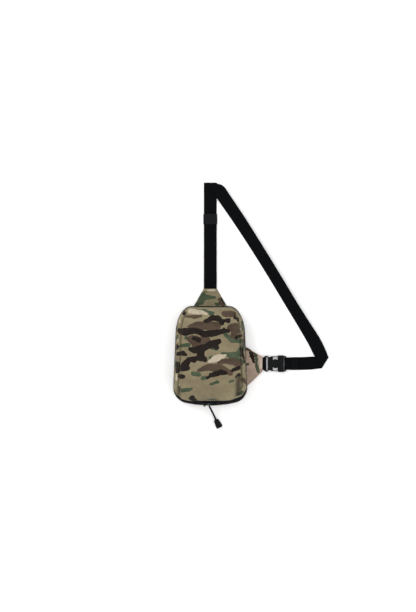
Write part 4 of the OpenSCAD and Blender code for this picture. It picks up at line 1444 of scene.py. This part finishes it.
def make_zip():
    """Tapes, coils and a stop at each end."""
    tapes = (("tape_rear", "zip_tape_rear", "root", TAPE_Z0 - 1.5, ZIP_Z - 1.2),
             ("tape_front", "zip_tape_front", "front_shell", ZIP_Z + 1.2, TAPE_Z1 + 2))
    for name, node, body, z0, z1 in tapes:
        stations = [tucked_station(z, 0.35) for z in np.linspace(z0, z1, 8)]
        band_piece(name, stations, ZIP_RUN, "zip_tape", body, [node], 0.7)
    for name, node, body, z, side in (("coil_rear", "zip_coil_rear", "root", ZIP_Z - 0.85, 1),
                                      ("coil_front", "zip_coil_front", "front_shell", ZIP_Z + 0.85, -1)):
        points, faces, lay = coil(z, side)
        piece(name, points, faces, "zip_coil", body, lay, [node])
    stop = joined([box_prism(-2.3, -0.9, -0.6, 0.9, -2.4, 2.4, 0.25),
                   box_prism(0.9, 2.3, -0.6, 0.9, -2.4, 2.4, 0.25),
                   box_prism(-1.4, 1.4, -0.4, 0.55, -1.9, 1.9, 0.2)])
    stop_z = ZIP_Z - 4
    curve = loop(*zip_station(stop_z, 0.2)[:2])
    parts = []
    for at in (ZIP_END, LOOP_N - ZIP_END):
        out = outward(curve)[at]
        local = stop[0]
        flat = curve[at] + local[:, :1] * [-out[1], out[0]] + local[:, 1:2] * out
        parts.append((np.column_stack([flat, local[:, 2] + stop_z]), stop[1]))
    piece("stops", *joined(parts), "gunmetal", "root", nodes=["zip_stops"], flat=True)


ZIP_TILT = math.atan2(ZIP_IN + ZIP_LIFT, TAPE_Z1 - TAPE_Z0)


def on_run(points, x):
    """Slider coordinates (along, in, up the band) to the frame's."""
    inset, lift, _ = zip_station(ZIP_Z)
    radius = BOTTOM_R - inset
    centre = BOTTOM_R - BOTTOM_Y + lift
    points = np.asarray(points, float)
    c, s = math.cos(-ZIP_TILT), math.sin(-ZIP_TILT)
    y = points[:, 1] * c - points[:, 2] * s
    z = points[:, 1] * s + points[:, 2] * c
    y = y - radius
    turn = math.asin(x / radius)
    return np.column_stack([points[:, 0] * math.cos(turn) - y * math.sin(turn),
                            points[:, 0] * math.sin(turn) + y * math.cos(turn) + centre, z + ZIP_Z])


def make_sliders():
    """Each slider: an outer plate with a bail, and a plate behind the coils."""
    shield = [(-6, -4.2), (-2.2, -4.4), (2.2, -4.4), (6, -3.4), (6.2, 0), (6, 3.4), (2.2, 4.4),
              (-2.2, 4.4), (-6, 4.2)]
    for name, node, body, x in (("slider_right_body", "zip_slider_right", "slider_right", -3),
                                ("slider_left_body", "zip_slider_left", "slider_left", -17)):
        face, faces = prism(shield, 1.6, 3.2, 0.45)
        outer = np.column_stack([face[:, 0], -face[:, 2], face[:, 1]])
        rear, rear_faces = prism([(-6, 1.4), (6, 1.4), (6, 4.8), (-6, 4.8)], 2.6, 3.8, 0.3)
        inner = np.column_stack([rear[:, 0], rear[:, 2], rear[:, 1]])
        arch = [(-4, -3, 0), (-4, -5, 0), (-3.6, -6.3, 0), (-2.4, -6.75, 0), (2.4, -6.75, 0),
                (3.6, -6.3, 0), (4, -5, 0), (4, -3, 0)]
        bail = tube(spline(arch, 30), 0.75, 10)
        points, all_faces = joined([(outer, turned(faces)), (inner, rear_faces), bail[:2]])
        obj = piece(name, on_run(points, x), all_faces, "gunmetal", body, nodes=[node])
        add_modifier(obj, "WEIGHTED_NORMAL")


def make_pull_blade():
    """The short pull of the left slider: a ribbed blade with a hook round the bail."""
    (x0, y0, z0), (x1, _, z1) = node_box("pull_tab")
    middle = (x0 + x1) / 2
    blade = [(x0 + 1.4, z0), (x1 - 1.4, z0), (x1, z0 + 1.6), (x1 - 0.4, z0 + 9), (middle + 2.2, z1 - 3),
             (middle + 2.2, z1), (middle - 2.2, z1), (middle - 2.2, z1 - 3), (x0 + 0.4, z0 + 9),
             (x0, z0 + 1.6)]
    flat, faces = prism(blade, y0, y0 + 1.5, 0.45)
    parts = [(flat[:, (0, 2, 1)], turned(faces))]
    for step in range(5):
        z = z0 + 3 + 2.4 * step
        parts.append(tube([(x0 + 1.8, y0 - 0.05, z), (x1 - 1.8, y0 - 0.05, z)], 0.35, 8)[:2])
    bail_y, bail_z, radius = y0 + 4.6, z1 - 3.2, 1.95
    turn = [(middle, bail_y + radius * math.cos(a), bail_z + radius * math.sin(a))
            for a in np.radians((125, 90, 55, 20, -15, -50))]
    hook = spline([(middle, y0 + 0.8, z1 - 1.4), (middle, y0 + 1.8, z1 - 0.8)] + turn, 30)
    parts.append(tube(hook, 0.75, 10)[:2])
    piece("pull_blade", *joined(parts), "gunmetal", "pull_left", nodes=["pull_tab"])


# ---- Tab and wing ----
def flat_cloth(name, node, outline, z_of, look, blots, thickness, spacing, seed, ripples):
    """A flat cloth piece of one outline, lightly rumpled."""
    closed = np.vstack([outline, outline[:1]])
    rim = resample(closed, int(path_length(closed) / spacing))[:-1]
    lattice, faces = filled(rim, spacing)
    lay = np.vstack([rim, lattice])
    points = np.column_stack([lay, [z_of(x, y) for x, y in lay]])
    points[:, 2] += np.abs(ripple(points, 26, ripples, seed))
    thicken(piece(name, points, faces, look, "root", lay, [node], blots=blots), thickness)


def make_tab():
    """Two plies with a folded hem at the top and double stitching down both slanted sides."""
    _, top, z1 = node_box("top_tab_front")[1]
    half_top, half_low, foot, foot_out = 19.6, 51.0, TOP_Y - 6, 1.8
    outline = np.array([(-half_top, top), (-half_low - foot_out, foot), (half_low + foot_out, foot),
                        (half_top, top)])

    def upper(x, y):
        slope = (half_low - half_top) / (top - TOP_Y + 3)
        edge = half_top + (top - y) * slope - abs(x)
        web = smooth(WEB_W / 2 + 4 - abs(x), 0, 4) * smooth(y, 160, 170)
        hem = 0.5 * smooth(y, top - 9.5, top - 8.5)
        ply = 1.9 * smooth(y, top - 16, top - 9) * smooth(WEB_W / 2 + 1 - abs(x), 0, 1.5)
        return z1 - 1.7 + 0.5 * smooth(edge, 0, 6) + 0.5 * web + hem + ply

    flat_cloth("tab_front", "top_tab_front", outline, upper, "camo", TAB_BLOTS, 1.5, 3.2, 2.0, 0.3)
    flat_cloth("tab_back", "top_tab_back", outline, lambda x, y: 1.15, "camo", TAB_BLOTS,
               0.9, 4.0, 5.0, 0.0)
    slant = unit([half_low - half_top, -(top - TOP_Y + 3)])
    rows = []
    for side in (-1, 1):
        for inset in (2.6, 6.2):
            start = np.array([half_top, top]) + np.array([slant[1], -slant[0]]) * inset
            line = [start + slant * t for t in np.linspace(1, 54, 24)]
            rows.append(seam_on([(side * x, y) for x, y in line if y > TOP_Y - 2], upper, 0.15))
    for y in (top - 7.4, top - 2.0):
        rows.append(seam_on([(x, y) for x in np.linspace(-17.5, 17.5, 12)], upper, 0.2))
    x, y0, y1 = 15.0, top - 30, top - 12
    corners = [(-x, y0), (x, y0), (x, y1), (-x, y1), (-x, y0)]
    rows += seams_on(corners, upper, 0.2)
    stitches("tab_stitches", rows, "thread_tan", "root", "camo")


# The wing's outline, from the bag's edge below the buckle round to the bag's edge above it.
WING = np.array([(100, -95), (106, -92), (123, -77), (140, -60), (154, -46), (154, -1.5), (143, 3),
                 (129, 11), (117, 20), (106, 25), (100, 25.5)])


def make_wing():
    """The side wing: two plies that leave the bag's edge and hold the buckle's webbing."""
    top = node_box("wing_front")[1][2]

    def upper(x, y):
        web = smooth(x, 134, 142) * smooth(22 - abs(y - BUCKLE_Y), 0, 3)
        return top - 0.4 + 0.5 * web + 0.4 * math.sin((x - 100) / 54 * math.pi)

    flat_cloth("wing_cloth_front", "wing_front", WING, upper, "camo_wing", WING_BLOTS, 1.1, 3.2, 7.0, 0.5)
    flat_cloth("wing_cloth_back", "wing_back", WING, lambda x, y: 3.4, "camo_wing", WING_BLOTS,
               1.1, 4.0, 8.0, 0.0)
    rows = []
    for inset in (2.4, 6.0):
        line = []
        for a, b in zip(WING, WING[1:]):
            inward = unit([a[1] - b[1], b[0] - a[0]])
            line += [a + inward * inset, b + inward * inset]
        line = [p for p in line if 104 < p[0] < 151]
        for part in ([p for p in line if p[1] < -47], [p for p in line if p[1] > -1]):
            rows.append(seam_on(resample(part, 40), upper, 0.25))
    x0, x1, y0, y1 = 138, 150, BUCKLE_Y - 16, BUCKLE_Y + 16
    corners = [(x0, y0), (x1, y0), (x1, y1), (x0, y1), (x0, y0), (x1, y1)]
    rows += seams_on(corners, upper, 0.25)
    stitches("wing_stitches", rows, "thread_tan", "root", "camo_wing")


# ---- Buckle ----
def make_buckle():
    """The CAD buckle with rounded edges, and grip ridges on both halves."""
    for node in ("buckle_male", "buckle_arm_upper", "buckle_arm_lower", "buckle_female"):
        round_node(node, "plastic", 0.45)
    parts = []
    off_middle, z = 17.5, BUCKLE_Z + 3.4
    for x in (180.2, 182.4, 184.6):
        for y in (BUCKLE_Y - off_middle, BUCKLE_Y + off_middle):
            parts.append(tube([(x, y - 3, z), (x, y + 3, z)], 0.45, 8)[:2])
    piece("male_ridges", *joined(parts), "plastic", "root")
    parts = []
    for x in (201, 203.4):
        path = [(x + 1.2 * math.cos(t * math.pi / 2), BUCKLE_Y + 17 * t, BUCKLE_HIGH[2] - 0.1)
                for t in np.linspace(-1, 1, 12)]
        parts.append(tube(path, 0.5, 8)[:2])
    piece("female_ridges", *joined(parts), "plastic", "shoulder_strap")


make_camera()
make_studio()
make_cord()
make_upright_strap()
make_tail()
make_long_strap()
make_wing_webbing()
make_keeper()
make_front_shell()
make_front_lining()
make_rear_shell()
make_zip()
make_sliders()
make_pull_blade()
make_tab()
make_wing()
make_buckle()
